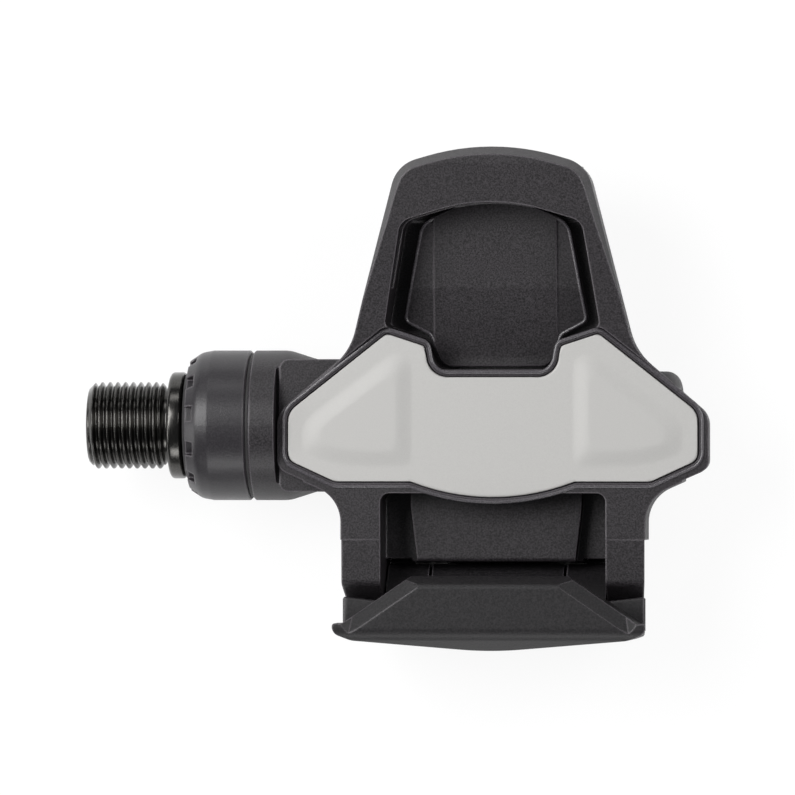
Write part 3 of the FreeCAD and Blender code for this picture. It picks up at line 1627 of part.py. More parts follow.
def make_heel_pad():
    body = new_body("heel_pad")
    heel = blade_tail_at(s.heel_rear) + s.wear_strip + s.face_play * 2
    front, rear = -s.heel_front - 1.0, -s.heel_rear + 1.4
    rise = 0.4 / 4.4
    top_front = heel - 0.4 + rise * 1.0 - 0.03
    top_rear = heel - rise * 1.4 - 0.03
    sketch = outline(
        body,
        "heel_pad_side",
        "YZ_Plane",
        [
            (front, top_front),
            (rear, top_rear),
            (rear, top_rear - s.wear_strip + 0.1),
            (front, top_front - s.wear_strip + 0.1),
        ],
        s.q_factor,
    )
    add(body, "Pad", sketch, "strip", s.heel_half_width * 2 - 1.0, symmetric=True)
    return body


def make_latch_pin():
    body = new_body("latch_pin")
    sketch = new_sketch(body, "pin_circle", "YZ_Plane", s.q_factor)
    draw_circle(sketch, -s.pivot_y, -s.pivot_z, s.pin_diameter / 2)
    add(body, "Pad", sketch, "pin", (arm_face_at_pin - s.pin_inset) * 2, symmetric=True)
    return body


spindle = make_spindle()
outer_race, inner_race, balls, ball_cage, shields = make_ball_bearing()
needle_shell, needle_rollers, needle_cage = make_needle_bearing()
lip_seal, collar_seal = make_seals()
nodes = [
    spindle,
    outer_race,
    inner_race,
    balls,
    ball_cage,
    shields,
    make_circlip(),
    needle_shell,
    needle_rollers,
    needle_cage,
    make_lock_collar(),
    lip_seal,
    collar_seal,
    make_pedal_body(make_tube(), make_floor(), make_keel()),
    make_contact_plate(),
    pair("plate_screws", make_plate_screw),
    make_blade(),
    make_keeper(),
    pair("blade_screws", make_blade_screw),
    pair("blade_screw_inserts", make_insert),
    make_latch(),
    make_heel_pad(),
    make_latch_pin(),
]
doc.recompute()

for item in doc.Objects:
    if "Invalid" in item.State or "Error" in item.State:
        raise RuntimeError(f"{item.Label} failed: {item.State}")
for node in nodes:
    if node.Shape.isNull() or not node.Shape.isValid() or not node.Shape.Solids:
        raise RuntimeError(f"{node.Label} has no valid solid")

os.makedirs("parts", exist_ok=True)
for node in nodes:
    node.Shape.exportStep(f"parts/{node.Label}.step")
    print(node.Label, len(node.Shape.Solids), round(node.Shape.Volume, 1))
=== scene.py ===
"""Looks of a right-hand clipless road pedal, cleat side up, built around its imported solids."""

import math

import bpy
import numpy as np
from mathutils import Matrix, Vector


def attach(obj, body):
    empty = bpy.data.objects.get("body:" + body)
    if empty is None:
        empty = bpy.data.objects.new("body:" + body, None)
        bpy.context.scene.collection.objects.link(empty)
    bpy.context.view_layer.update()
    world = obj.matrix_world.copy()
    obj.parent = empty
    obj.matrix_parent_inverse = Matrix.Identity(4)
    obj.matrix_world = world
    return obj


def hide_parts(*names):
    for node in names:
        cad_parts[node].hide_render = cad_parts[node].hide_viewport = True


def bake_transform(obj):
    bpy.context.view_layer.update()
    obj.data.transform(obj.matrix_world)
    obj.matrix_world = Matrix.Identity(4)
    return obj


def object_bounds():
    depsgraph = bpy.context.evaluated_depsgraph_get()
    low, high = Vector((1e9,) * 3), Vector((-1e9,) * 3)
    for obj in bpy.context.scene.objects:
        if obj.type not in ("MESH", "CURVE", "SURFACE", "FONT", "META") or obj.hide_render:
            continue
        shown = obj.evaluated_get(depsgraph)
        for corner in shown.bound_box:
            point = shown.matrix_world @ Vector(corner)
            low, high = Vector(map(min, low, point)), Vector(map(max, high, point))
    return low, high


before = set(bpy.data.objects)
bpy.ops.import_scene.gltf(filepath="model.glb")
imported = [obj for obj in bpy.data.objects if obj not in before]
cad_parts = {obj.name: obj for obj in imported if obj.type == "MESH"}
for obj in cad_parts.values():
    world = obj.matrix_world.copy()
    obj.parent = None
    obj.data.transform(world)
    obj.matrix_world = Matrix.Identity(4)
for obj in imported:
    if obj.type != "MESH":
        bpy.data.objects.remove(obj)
cad_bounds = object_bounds()

MM = 0.001
MIDDLE = 53.7  # crank face to the middle of the pedal, in mm


# small helpers


def linear(hex_colour):
    """sRGB hex to linear RGBA."""
    parts = [int(hex_colour[i : i + 2], 16) / 255 for i in (1, 3, 5)]
    return [p / 12.92 if p <= 0.04045 else ((p + 0.055) / 1.055) ** 2.4 for p in parts] + [1.0]


def make_material(name):
    """A new material whose tree holds only the output; returns it with its tree."""
    material = bpy.data.materials.new(name)
    material.use_nodes = True
    tree = material.node_tree
    tree.nodes.clear()
    return material, tree


def node(tree, kind, links=None, **settings):
    """Adds a node. settings sets inputs by name or attributes; links joins inputs to sockets."""
    made = tree.nodes.new(kind)
    for key, value in settings.items():
        if hasattr(made, key) and key not in made.inputs:
            setattr(made, key, value)
        else:
            name = key if key in made.inputs else key.replace("_", " ")
            made.inputs[name].default_value = value
    for key, socket in (links or {}).items():
        tree.links.new(socket, made.inputs[key])
    return made


def ramp(tree, factor, stops):
    """A colour ramp with (place, hex colour) stops."""
    made = node(tree, "ShaderNodeValToRGB", {"Fac": factor})
    elements = made.color_ramp.elements
    while len(elements) < len(stops):
        elements.new(0.5)
    for element, (place, colour) in zip(elements, stops):
        element.position = place
        element.color = linear(colour)
    return made


def object_coordinates(tree):
    return node(tree, "ShaderNodeTexCoord").outputs["Object"]


def finish_material(tree, shader):
    node(tree, "ShaderNodeOutputMaterial", {"Surface": shader.outputs[0]})


def grain_scale(size_mm):
    """Scale of a noise pattern on object coordinates whose grains are about this size."""
    return 1.0 / (size_mm * MM)


def set_materials(obj, material):
    obj.data.materials.clear()
    obj.data.materials.append(material)
    for slot in obj.material_slots:
        slot.material = material


# materials


# limits of the edge mask, on the dot product of rounded and true normals: it mixes in the painted
# edge highlight and lowers the roughness
EDGE_MASK_START, EDGE_MASK_END = 0.985, 0.88
# painted highlight: this lighter colour is mixed onto edges, convex and concave, to stand in for
# light catching them; on the pale natural nylon it darkens them instead
PAINTED_EDGE_HIGHLIGHT = "#585458"
WORN_POLISH = 0.14  # how much smoother than the rest a worn edge is
PEBBLE_SIZE = 0.27  # in mm, as are the next two
PEBBLE_DEPTH = 0.06
MOULDED_EDGE, MACHINED_EDGE = 0.45, 0.25  # radii that edges are shaded with
TOW_WIDTH = 2.0


def composite(name, dark, light, roughness, ior=1.42):
    """Carbon-filled moulded nylon: a dark warm grey, satin, with the fine pebble that a
    spark-eroded mould leaves and the paler specks of the filler. Its edges are smoother,
    as if burnished by shoes, and painted lighter as a painted highlight.

    An edge is where the rounded normal leaves the face's own: the mask for the painted edge
    highlight and the polish goes from 0 at the start limit to 1 at the end limit of their dot
    product."""
    material, tree = make_material(name)
    place = object_coordinates(tree)
    pebble = node(
        tree,
        "ShaderNodeTexNoise",
        {"Vector": place},
        Scale=grain_scale(PEBBLE_SIZE),
        Detail=3.0,
    )
    colour = ramp(tree, pebble.outputs["Fac"], [(0.36, dark), (0.64, light)])
    edge = node(tree, "ShaderNodeBevel", samples=6, Radius=MOULDED_EDGE * MM)
    bump = node(
        tree,
        "ShaderNodeBump",
        {"Height": pebble.outputs["Fac"], "Normal": edge.outputs["Normal"]},
        Strength=0.4,
        Distance=PEBBLE_DEPTH * MM,
    )
    face = node(tree, "ShaderNodeNewGeometry")
    turn = node(
        tree,
        "ShaderNodeVectorMath",
        {0: edge.outputs["Normal"], 1: face.outputs["True Normal"]},
        operation="DOT_PRODUCT",
    )
    edge_highlight_and_polish = node(tree, "ShaderNodeMapRange", {"Value": turn.outputs["Value"]})
    edge_highlight_and_polish.inputs["From Min"].default_value = EDGE_MASK_START
    edge_highlight_and_polish.inputs["From Max"].default_value = EDGE_MASK_END
    # painted highlight: the edge mask mixes the lighter edge colour over the nylon's own colour
    painted_highlight = node(
        tree,
        "ShaderNodeMixRGB",
        {"Fac": edge_highlight_and_polish.outputs["Result"], "Color1": colour.outputs["Color"]},
        Color2=linear(PAINTED_EDGE_HIGHLIGHT),
    )
    rough = node(tree, "ShaderNodeMapRange", {"Value": pebble.outputs["Fac"]})
    rough.inputs["To Min"].default_value = roughness - 0.07
    rough.inputs["To Max"].default_value = roughness + 0.07
    polish = node(
        tree,
        "ShaderNodeMath",
        {0: edge_highlight_and_polish.outputs["Result"], 2: rough.outputs["Result"]},
        operation="MULTIPLY_ADD",
    )
    polish.inputs[1].default_value = -WORN_POLISH
    shader = node(
        tree,
        "ShaderNodeBsdfPrincipled",
        {
            "Base Color": painted_highlight.outputs["Color"],
            "Roughness": polish.outputs["Value"],
            "Normal": bump.outputs["Normal"],
        },
        IOR=ior,
    )
    finish_material(tree, shader)
    return material


def metal(name, colour, shade, roughness, grain_mm, depth_mm, stretch=(1, 1, 1), metallic=1.0):
    """A metal with a fine pattern of its making: blasted grain, or turned lines when stretched.

    A blasted face scatters so widely that part of it counts as matt: metallic under 1."""
    material, tree = make_material(name)
    place = node(
        tree, "ShaderNodeMapping", {"Vector": object_coordinates(tree)}, Scale=Vector(stretch)
    )
    grain = node(
        tree,
        "ShaderNodeTexNoise",
        {"Vector": place.outputs["Vector"]},
        Scale=grain_scale(grain_mm),
        Detail=2.0,
    )
    tint = ramp(tree, grain.outputs["Fac"], [(0.35, shade), (0.65, colour)])
    edge = node(tree, "ShaderNodeBevel", samples=6, Radius=MACHINED_EDGE * MM)
    bump = node(
        tree,
        "ShaderNodeBump",
        {"Height": grain.outputs["Fac"], "Normal": edge.outputs["Normal"]},
        Strength=0.3,
        Distance=depth_mm * MM,
    )
    rough = node(tree, "ShaderNodeMapRange", {"Value": grain.outputs["Fac"]})
    rough.inputs["To Min"].default_value = roughness - 0.06
    rough.inputs["To Max"].default_value = roughness + 0.06
    shader = node(
        tree,
        "ShaderNodeBsdfPrincipled",
        {
            "Base Color": tint.outputs["Color"],
            "Roughness": rough.outputs["Result"],
            "Normal": bump.outputs["Normal"],
        },
        Metallic=metallic,
    )
    finish_material(tree, shader)
    return material


def woven_carbon(name):
    """Carbon fibre cloth under clear resin: tows in a twill, dark with a glossy coat."""
    material, tree = make_material(name)
    place = object_coordinates(tree)
    scale = node(tree, "ShaderNodeVectorMath", {0: place}, operation="SCALE")
    scale.inputs["Scale"].default_value = grain_scale(TOW_WIDTH)
    parts = node(tree, "ShaderNodeSeparateXYZ", {"Vector": scale.outputs["Vector"]})
    total = node(
        tree, "ShaderNodeMath", {0: parts.outputs["X"], 1: parts.outputs["Y"]}, operation="ADD"
    )
    weave = node(tree, "ShaderNodeMath", {0: total.outputs[0]}, operation="PINGPONG")
    weave.inputs[1].default_value = 1.0
    colour = ramp(tree, weave.outputs[0], [(0.3, "#141416"), (0.7, "#37373b")])
    bump = node(
        tree, "ShaderNodeBump", {"Height": weave.outputs[0]}, Strength=0.25, Distance=0.06 * MM
    )
    shader = node(
        tree,
        "ShaderNodeBsdfPrincipled",
        {"Base Color": colour.outputs["Color"], "Normal": bump.outputs["Normal"]},
        Roughness=0.38,
    )
    shader.inputs["Coat Weight"].default_value = 0.7
    shader.inputs["Coat Roughness"].default_value = 0.08
    finish_material(tree, shader)
    return material


def rubber(name):
    """Nitrile rubber: near black, dull, slightly dusty."""
    material, tree = make_material(name)
    place = object_coordinates(tree)
    dust = node(tree, "ShaderNodeTexNoise", {"Vector": place}, Scale=grain_scale(0.5), Detail=3.0)
    colour = ramp(tree, dust.outputs["Fac"], [(0.3, "#141314"), (0.75, "#222022")])
    bump = node(
        tree, "ShaderNodeBump", {"Height": dust.outputs["Fac"]}, Strength=0.1, Distance=0.03 * MM
    )
    shader = node(
        tree,
        "ShaderNodeBsdfPrincipled",
        {"Base Color": colour.outputs["Color"], "Normal": bump.outputs["Normal"]},
        Roughness=0.6,
    )
    finish_material(tree, shader)
    return material


body_composite = composite("moulded_carbon_filled_nylon", "#121012", "#2d2a2d", 0.42)
# the beads' nylon is glossier than the body and painted lighter, a painted highlight along the
# beads
bead_nylon_with_painted_highlight = composite("bead_nylon_painted_highlight", "#2f2d30", "#454246", 0.25, 1.6)
latch_composite = composite("moulded_latch_nylon", "#0a090b", "#1d1b1d", 0.46)
collar_black = composite("satin_black_lacquer", "#1f1d20", "#282629", 0.36)
spindle_black = metal("black_oxide_steel", "#4d4c4a", "#3c3b3a", 0.23, 0.4, 0.006, (4, 1, 1))
blasted_stainless = metal(
    "bead_blasted_stainless", "#a8a7a5", "#a3a2a0", 0.66, 0.16, 0.005, metallic=0.45
)
brushed_stainless = metal("brushed_stainless", "#b4b4b6", "#98989b", 0.35, 0.2, 0.01, (1, 12, 1))
ground_steel = metal("ground_bearing_steel", "#c2c3c6", "#b2b3b6", 0.18, 0.3, 0.004, (6, 1, 1))
spring_steel = metal("tempered_spring_steel", "#6d6d70", "#5b5b5e", 0.35, 0.3, 0.006)
screw_black = metal("blackened_screw_steel", "#2a2a2c", "#1f1f21", 0.34, 0.25, 0.006)
turned_brass = metal("turned_brass", "#b8964f", "#a38343", 0.3, 0.25, 0.01, (1, 1, 6))
cage_nylon = composite("natural_nylon", "#c2b69c", "#cfc4ac", 0.5)
seal_rubber = rubber("nitrile_rubber")
blade_carbon = woven_carbon("laminated_carbon_fibre")

FINISHES = {
    "bearing_outer_race": ground_steel,
    "bearing_inner_race": ground_steel,
    "bearing_balls": ground_steel,
    "ball_cage": cage_nylon,
    "bearing_shields": seal_rubber,
    "spindle_circlip": spring_steel,
    "needle_shell": ground_steel,
    "needle_rollers": ground_steel,
    "needle_cage": cage_nylon,
    "lock_collar": collar_black,
    "lip_seal": seal_rubber,
    "collar_seal": seal_rubber,
    "pedal_body": body_composite,
    "contact_plate": blasted_stainless,
    "plate_screws": screw_black,
    "carbon_blade": blade_carbon,
    "blade_keeper": brushed_stainless,
    "blade_screws": screw_black,
    "blade_screw_inserts": turned_brass,
    "rear_latch": latch_composite,
    "heel_pad": spring_steel,
    "latch_pin": ground_steel,
    "spindle": spindle_black,
}
for name, material in FINISHES.items():
    set_materials(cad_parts[name], material)


# meshes from grids


def smooth_mesh(name, points, faces, material):
    """An object of smooth-shaded faces over points in mm."""
    mesh = bpy.data.meshes.new(name)
    mesh.from_pydata((points * MM).tolist(), [], faces)
    mesh.polygons.foreach_set("use_smooth", np.ones(len(faces), dtype=bool))
    mesh.update()
    obj = bpy.data.objects.new(name, mesh)
    bpy.context.scene.collection.objects.link(obj)
    mesh.materials.append(material)
    return obj


def grid_quads(rows, columns, closed_rows):
    """Faces between neighbours of a grid whose columns, and rows if asked, close round."""
    steps = rows if closed_rows else rows - 1
    r, c = np.meshgrid(np.arange(steps), np.arange(columns), indexing="ij")
    below, right = (r + 1) % rows, (c + 1) % columns
    return np.stack(
        [r * columns + c, below * columns + c, below * columns + right, r * columns + right],
        axis=-1,
    ).reshape(-1, 4)


def grid_mesh(name, points, material):
    """A mesh from an array of rows by columns by 3, in mm. Columns close round, and the first
    and last rows are closed with a point each at their mean."""
    rows, columns = points.shape[:2]
    first, last = points[0].mean(axis=0), points[-1].mean(axis=0)
    vertices = np.vstack([points.reshape(-1, 3), first, last])
    quads = grid_quads(rows, columns, False)
    ring = np.arange(columns)
    after = (ring + 1) % columns
    top = rows * columns
    cap_first = np.stack([np.full(columns, top), ring, after], axis=-1)
    base = (rows - 1) * columns
    cap_last = np.stack([np.full(columns, top + 1), base + after, base + ring], axis=-1)
    faces = quads.tolist() + cap_first.tolist() + cap_last.tolist()
    return smooth_mesh(name, vertices, faces, material)


def rounded_outline(corners, spacing=0.25):
    """Points, in mm, around a closed outline whose (x, y, radius) corners are rounded."""
    points = []
    count = len(corners)
    for i, (x, y, radius) in enumerate(corners):
        here = np.array([x, y], dtype=float)
        before = np.array(corners[i - 1][:2], dtype=float)
        after = np.array(corners[(i + 1) % count][:2], dtype=float)
        inward = (here - before) / np.linalg.norm(here - before)
        outward = (after - here) / np.linalg.norm(after - here)
        turn = math.atan2(inward[0] * outward[1] - inward[1] * outward[0], inward @ outward)
        start = here - inward * radius * math.tan(abs(turn) / 2)
        side = 1 if turn > 0 else -1
        centre = start + np.array([-inward[1], inward[0]]) * radius * side
        begin = math.atan2(*(start - centre)[::-1])
        steps = max(2, int(radius * abs(turn) / spacing) + 2)
        for angle in begin + np.linspace(0, turn, steps):
            points.append(centre + radius * np.array([math.cos(angle), math.sin(angle)]))
    return np.array(points)


def mirrored(right, middle):
    """An outline from its right-hand corners, front first, and one corner on the middle line."""
    left = [(-x, y, r) for x, y, r in right]
    return left + [middle] + right[::-1]


def smooth(value):
    """0 below 0, 1 above 1, and an S-shaped rise between."""
    value = np.clip(value, 0.0, 1.0)
    return value * value * (3 - 2 * value)


# spindle with its rolled thread

THREAD_PITCH = 25.4 / 20
THREAD_DEPTH = 0.72
THREAD_START, THREAD_END = -13.4, -1.0
THREAD_RUNOUT = 0.6
CREST_RADIUS = 7.1
TIP_CHAMFER = 1.0
SOCKET_FLATS = 8.0
SPINDLE_OUTLINE = [
    (-0.9, 6.2), (-0.8, 6.1), (-0.3, 6.05), (-0.1, 6.1), (0.0, 6.3), (0.0, 8.1),
    (0.03, 8.25), (0.12, 8.42), (0.3, 8.6), (0.5, 8.68), (0.6, 8.7), (1.9, 8.7),
    (2.1, 8.66), (2.3, 8.5), (2.45, 8.3), (2.5, 8.2), (2.5, 6.5), (2.6, 6.32),
    (2.8, 6.3), (12.3, 6.3), (12.4, 6.2), (12.4, 5.05), (12.5, 5.0), (17.4, 5.0),
    (17.45, 4.65), (18.55, 4.65), (18.6, 5.0), (61.7, 5.0), (63.7, 4.0), (78.1, 4.0),
    (78.6, 3.8), (78.9, 3.3), (78.9, 1.0),
]  # from the undercut over the flange and the seats to the tip, as (along X, radius)


def spindle_surface():
    """A surface of revolution about X, whose crests follow a right-hand helix.

    Row by row along the outline from the bottom of the hexagon socket, out of the crank end,
    along the thread and to the tip. In the thread the radius is
    crest - depth * profile(x / pitch - angle / turn), where profile is a 60 degree V with a
    rounded root and crest. In the socket it is that of a hexagon, half flats / cos(angle in
    its sixth)."""
    angle = np.linspace(0, 2 * math.pi, 120, endpoint=False)
    sixth = (angle % (math.pi / 3)) - math.pi / 6
    hexagon = SOCKET_FLATS / 2 / np.cos(sixth)
    rows = []

    def round_row(x, radius):
        rows.append((np.full_like(angle, x), np.broadcast_to(radius, angle.shape)))

    round_row(-3.4, 0.05)
    round_row(-3.5, hexagon * 0.75)
    round_row(-3.5, hexagon)
    round_row(-12.7, hexagon)
    round_row(-12.9, hexagon)
    round_row(-13.35, np.maximum(hexagon, 4.55))
    round_row(-13.4, np.maximum(hexagon, 4.65))
    round_row(-13.4, 5.6)
    round_row(-13.4, 6.0)
    for x in np.linspace(THREAD_START, THREAD_END, 200):
        phase = (x / THREAD_PITCH - angle / (2 * math.pi)) % 1.0
        vee = 1.0 - np.abs(2 * phase - 1.0)
        vee = np.clip((vee - 0.12) / 0.8, 0, 1)
        vee = vee * vee * (3 - 2 * vee) * 0.35 + vee * 0.65
        radius = CREST_RADIUS - THREAD_DEPTH * vee
        lead = CREST_RADIUS - TIP_CHAMFER + (x - THREAD_START)
        runout = np.clip((x - THREAD_END + THREAD_RUNOUT) / THREAD_RUNOUT, 0, 1)
        out = CREST_RADIUS - THREAD_DEPTH * runout
        rows.append((np.full_like(angle, x), np.minimum(np.minimum(radius, lead), out)))
    for x, radius in SPINDLE_OUTLINE:
        round_row(x, radius)
    xs = np.stack([row[0] for row in rows])
    radii = np.stack([row[1] for row in rows])
    return np.stack([xs, radii * np.cos(angle), radii * np.sin(angle)], axis=-1)


spindle = grid_mesh("threaded_spindle", spindle_surface(), spindle_black)
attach(spindle, "spindle")
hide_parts("spindle")


# contact plate, pressed from sheet

PLATE_TOP, PLATE_BOTTOM = 10.0, 9.0
PAD_RISE = 0.42
PAD_SLOPE = 2.7  # width of the pads' soft sides
PAD_SOFTNESS = 0.7  # how far the pads' corners are softened
EDGE_ROUND = 0.3
PLATE_CORNERS = [
    (10.3, 7.85, 3.6), (11.2, 12.9, 0.6), (17.3, 14.9, 1.0), (33.4, 2.15, 3.0),
    (33.4, -5.6, 1.8), (25.8, -9.1, 1.8), (13.4, -9.1, 0.8),
]
PLATE_BELLY = (0.0, -14.1, 36.5)
PAD_CORNERS = [
    (13.1, -6.8), (25.2, -6.8), (31.2, -4.6), (31.2, 0.65), (15.9, 12.2), (13.1, 11.2),
]
FINE = 0.12  # spacing of points around small corners
plate_outline = rounded_outline(mirrored(PLATE_CORNERS, PLATE_BELLY), FINE)


def pad_depth(x, y):
    """How far inside a pad's foot a place lies, in mm, with the corners softened: the soft
    minimum -k ln sum exp(-d / k) of its distances to the foot's edges."""
    x = np.abs(x)
    total = np.zeros_like(x)
    for (ax, ay), (bx, by) in zip(PAD_CORNERS, PAD_CORNERS[1:] + PAD_CORNERS[:1]):
        length = math.hypot(bx - ax, by - ay)
        inside = ((bx - ax) * (y - ay) - (by - ay) * (x - ax)) / length
        total += np.exp(np.clip(-inside / PAD_SOFTNESS, -60, 60))
    return -PAD_SOFTNESS * np.log(total)


def plate_surface():
    """Columns across the plate, each from its rear edge over the top to its front edge and
    back underneath. The top is PLATE_TOP + PAD_RISE * the mean of t and smooth(t), with
    t = depth / PAD_SLOPE, less the round of the edge, r - sqrt(r^2 - (r - d)^2), at a
    distance d under r from the outline."""
    half = PLATE_CORNERS[3][0]
    leftmost = np.where(plate_outline[:, 0] <= -half + 1e-6)[0]
    rightmost = np.where(plate_outline[:, 0] >= half - 1e-6)[0]
    lower = plate_outline[leftmost[-1] : rightmost[0] + 1]
    upper = np.vstack([plate_outline[rightmost[-1] :], plate_outline[: leftmost[0] + 1]])[::-1]
    ends = half - 3.2 * np.linspace(0, 1, 26) ** 2
    across = np.concatenate(
        [np.linspace(0, 9.6, 30), np.linspace(9.7, 11.7, 26), np.linspace(11.9, 30.0, 74), ends]
    )
    across = np.unique(np.round(np.concatenate([-across, across]), 5))
    y_low = np.interp(across, lower[:, 0], lower[:, 1])
    y_high = np.interp(across, upper[:, 0], upper[:, 1])
    rim = np.array([0.0, 0.03, 0.08, 0.15, 0.24, 0.36])
    inner = np.linspace(0, 1, 60)[1:-1, None]
    low_rows = y_low + rim[:, None]
    high_rows = y_high - rim[::-1, None]
    rows = np.vstack([low_rows, low_rows[-1] + (high_rows[0] - low_rows[-1]) * inner, high_rows])
    x = np.broadcast_to(across, rows.shape)
    away = np.full(rows.shape, np.inf)
    for ax, ay in plate_outline:
        away = np.minimum(away, np.hypot(x - ax, rows - ay))
    away[0], away[-1], away[:, 0], away[:, -1] = 0, 0, 0, 0
    short = np.clip(EDGE_ROUND - away, 0, EDGE_ROUND)
    slope = np.clip(pad_depth(x, rows) / PAD_SLOPE, 0.0, 1.0)
    top = PLATE_TOP + PAD_RISE * (0.5 * slope + 0.5 * smooth(slope))
    top = top - EDGE_ROUND + np.sqrt(EDGE_ROUND**2 - short**2)
    over = np.stack([x + MIDDLE, rows, top], axis=-1)
    bottom = np.full(rows.shape, PLATE_BOTTOM)
    under = np.stack([x + MIDDLE, rows, bottom], axis=-1)[::-1]
    return np.vstack([over, under]).transpose(1, 0, 2)


plate = grid_mesh("pressed_plate", plate_surface(), blasted_stainless)
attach(plate, "pedal")
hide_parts("contact_plate")


# raised beads of the body: around the plate's seat and around the pocket's floor

SEAT_BEAD_RADIUS, FLOOR_BEAD_RADIUS = 0.34, 0.3
SEAT_BEAD_OUT = 0.78  # middle of the seat's bead outside the plate's edge
FLOOR_BEAD_IN = 0.12  # middle of the floor's bead inside the floor's edge
SEAT_BEAD_HEIGHT = 9.46
FLOOR_CORNERS = [(12.0, 33.0, 3.5), (15.0, 17.0, 1.2), (10.8, 14.8, 1.4), (8.6, 9.75, 2.2)]
FLOOR_FRONT = (0.0, 38.4, 16.0)
FLOOR_LINE = [(3.9, 3.0), (11.0, 3.0), (22.4, 4.7), (41.6, 5.4)]  # (along Y, height)


def evenly(path, count):
    """A closed line through the points, resampled to so many even steps."""
    closed = np.vstack([path, path[:1]])
    length = np.concatenate([[0], np.cumsum(np.linalg.norm(np.diff(closed, axis=0), axis=1))])
    at = np.linspace(0, length[-1], count, endpoint=False)
    return np.stack([np.interp(at, length, closed[:, i]) for i in range(2)], axis=-1)


def add_bead(name, path, height, radius, outward, material):
    """A closed round bead along a closed plan line, moved outward from it, at a height
    that may vary along Y. Around it the points are middle + radius * (normal cos, up sin)."""
    run = np.roll(path, -1, axis=0) - np.roll(path, 1, axis=0)
    run = run / np.linalg.norm(run, axis=1)[:, None]
    normal = np.stack([run[:, 1], -run[:, 0]], axis=-1)
    middle = path + normal * outward
    turn = np.linspace(0, 2 * math.pi, 14, endpoint=False)
    reach = radius * np.cos(turn)[None, :]
    x = middle[:, :1] + normal[:, :1] * reach + MIDDLE
    y = middle[:, 1:] + normal[:, 1:] * reach
    z = height(y) + radius * np.sin(turn)[None, :]
    points = np.stack([x, y, z], axis=-1)
    quads = grid_quads(*points.shape[:2], True).tolist()
    bead = smooth_mesh(name, points.reshape(-1, 3), quads, material)
    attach(bead, "pedal")


# both beads carry the lighter, glossier nylon whose paler colour is a painted highlight
add_bead(
    "seat_bead",
    evenly(plate_outline, 560),
    lambda y: np.full_like(y, SEAT_BEAD_HEIGHT),
    SEAT_BEAD_RADIUS,
    SEAT_BEAD_OUT,
    bead_nylon_with_painted_highlight,
)
floor_outline = rounded_outline(
    [(-x, y, r) for x, y, r in FLOOR_CORNERS] + FLOOR_CORNERS[::-1] + [FLOOR_FRONT], FINE
)
add_bead(
    "floor_bead",
    evenly(floor_outline, 480),
    lambda y: np.interp(y, *zip(*FLOOR_LINE)),
    FLOOR_BEAD_RADIUS,
    -FLOOR_BEAD_IN,
    bead_nylon_with_painted_highlight,
)


# blade spring, a strip of two straight slopes joined by an arc

BLADE_HALF, BLADE_SHEET, BLADE_EDGE = 9.5, 2.3, 0.3
BLADE_FRONT, BLADE_REAR = (41.0, 1.0), (-33.6, -8.1)
BLADE_CROSSING = (4.0, -12.3, 110.0)


def blade_surface():
    """Rows from the front end to the tail, each the outline of the flat section with rounded
    corners, square to a line of two straight slopes joined by an arc."""
    line = rounded_outline([(*BLADE_FRONT, 0.0), BLADE_CROSSING, (*BLADE_REAR, 0.0)], 0.8)
    line = np.vstack([line[:-2], [BLADE_REAR]])
    keep = np.concatenate([[True], np.linalg.norm(np.diff(line, axis=0), axis=1) > 1e-6])
    line = line[keep]
    length = np.concatenate([[0], np.cumsum(np.linalg.norm(np.diff(line, axis=0), axis=1))])
    along = np.linspace(0, length[-1], 110)
    y, z = np.interp(along, length, line[:, 0]), np.interp(along, length, line[:, 1])
    run_y, run_z = np.gradient(y), np.gradient(z)
    size = np.hypot(run_y, run_z)
    down_y, down_z = -run_z / size, run_y / size
    section = rounded_outline(
        [
            (-BLADE_HALF, 0.0, BLADE_EDGE),
            (-BLADE_HALF, BLADE_SHEET, BLADE_EDGE),
            (BLADE_HALF, BLADE_SHEET, BLADE_EDGE),
            (BLADE_HALF, 0.0, BLADE_EDGE),
        ],
        FINE,
    )
    x = np.broadcast_to(section[:, 0] + MIDDLE, (len(along), len(section)))
    points_y = y[:, None] + down_y[:, None] * section[:, 1]
    points_z = z[:, None] + down_z[:, None] * section[:, 1]
    return np.stack([x, points_y, points_z], axis=-1)


blade = grid_mesh("blade_spring", blade_surface(), blade_carbon)
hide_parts("carbon_blade")
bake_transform(blade)


# shoulders of the latch, over the ends of the arms

SHOULDER_INNER, SHOULDER_OUTER = 18.35, 24.8
SHOULDER_TOP, SHOULDER_LOW, SHOULDER_REAR = 7.7, 1.2, -33.4
SHOULDER_ROUND = 0.5
SHOULDER_FLARE = 0.8  # how much further forward the outside starts
SHOULDER_DRAFT = 2.2 / 24.0  # the latch's sides lean in by this much for each mm down
ARM_END, ARM_HEEL = (-25.8, 9.2), (-31.6, 0.56)  # (along Y, height) of the arm's sloping end
SHOULDER_GAP = 0.45


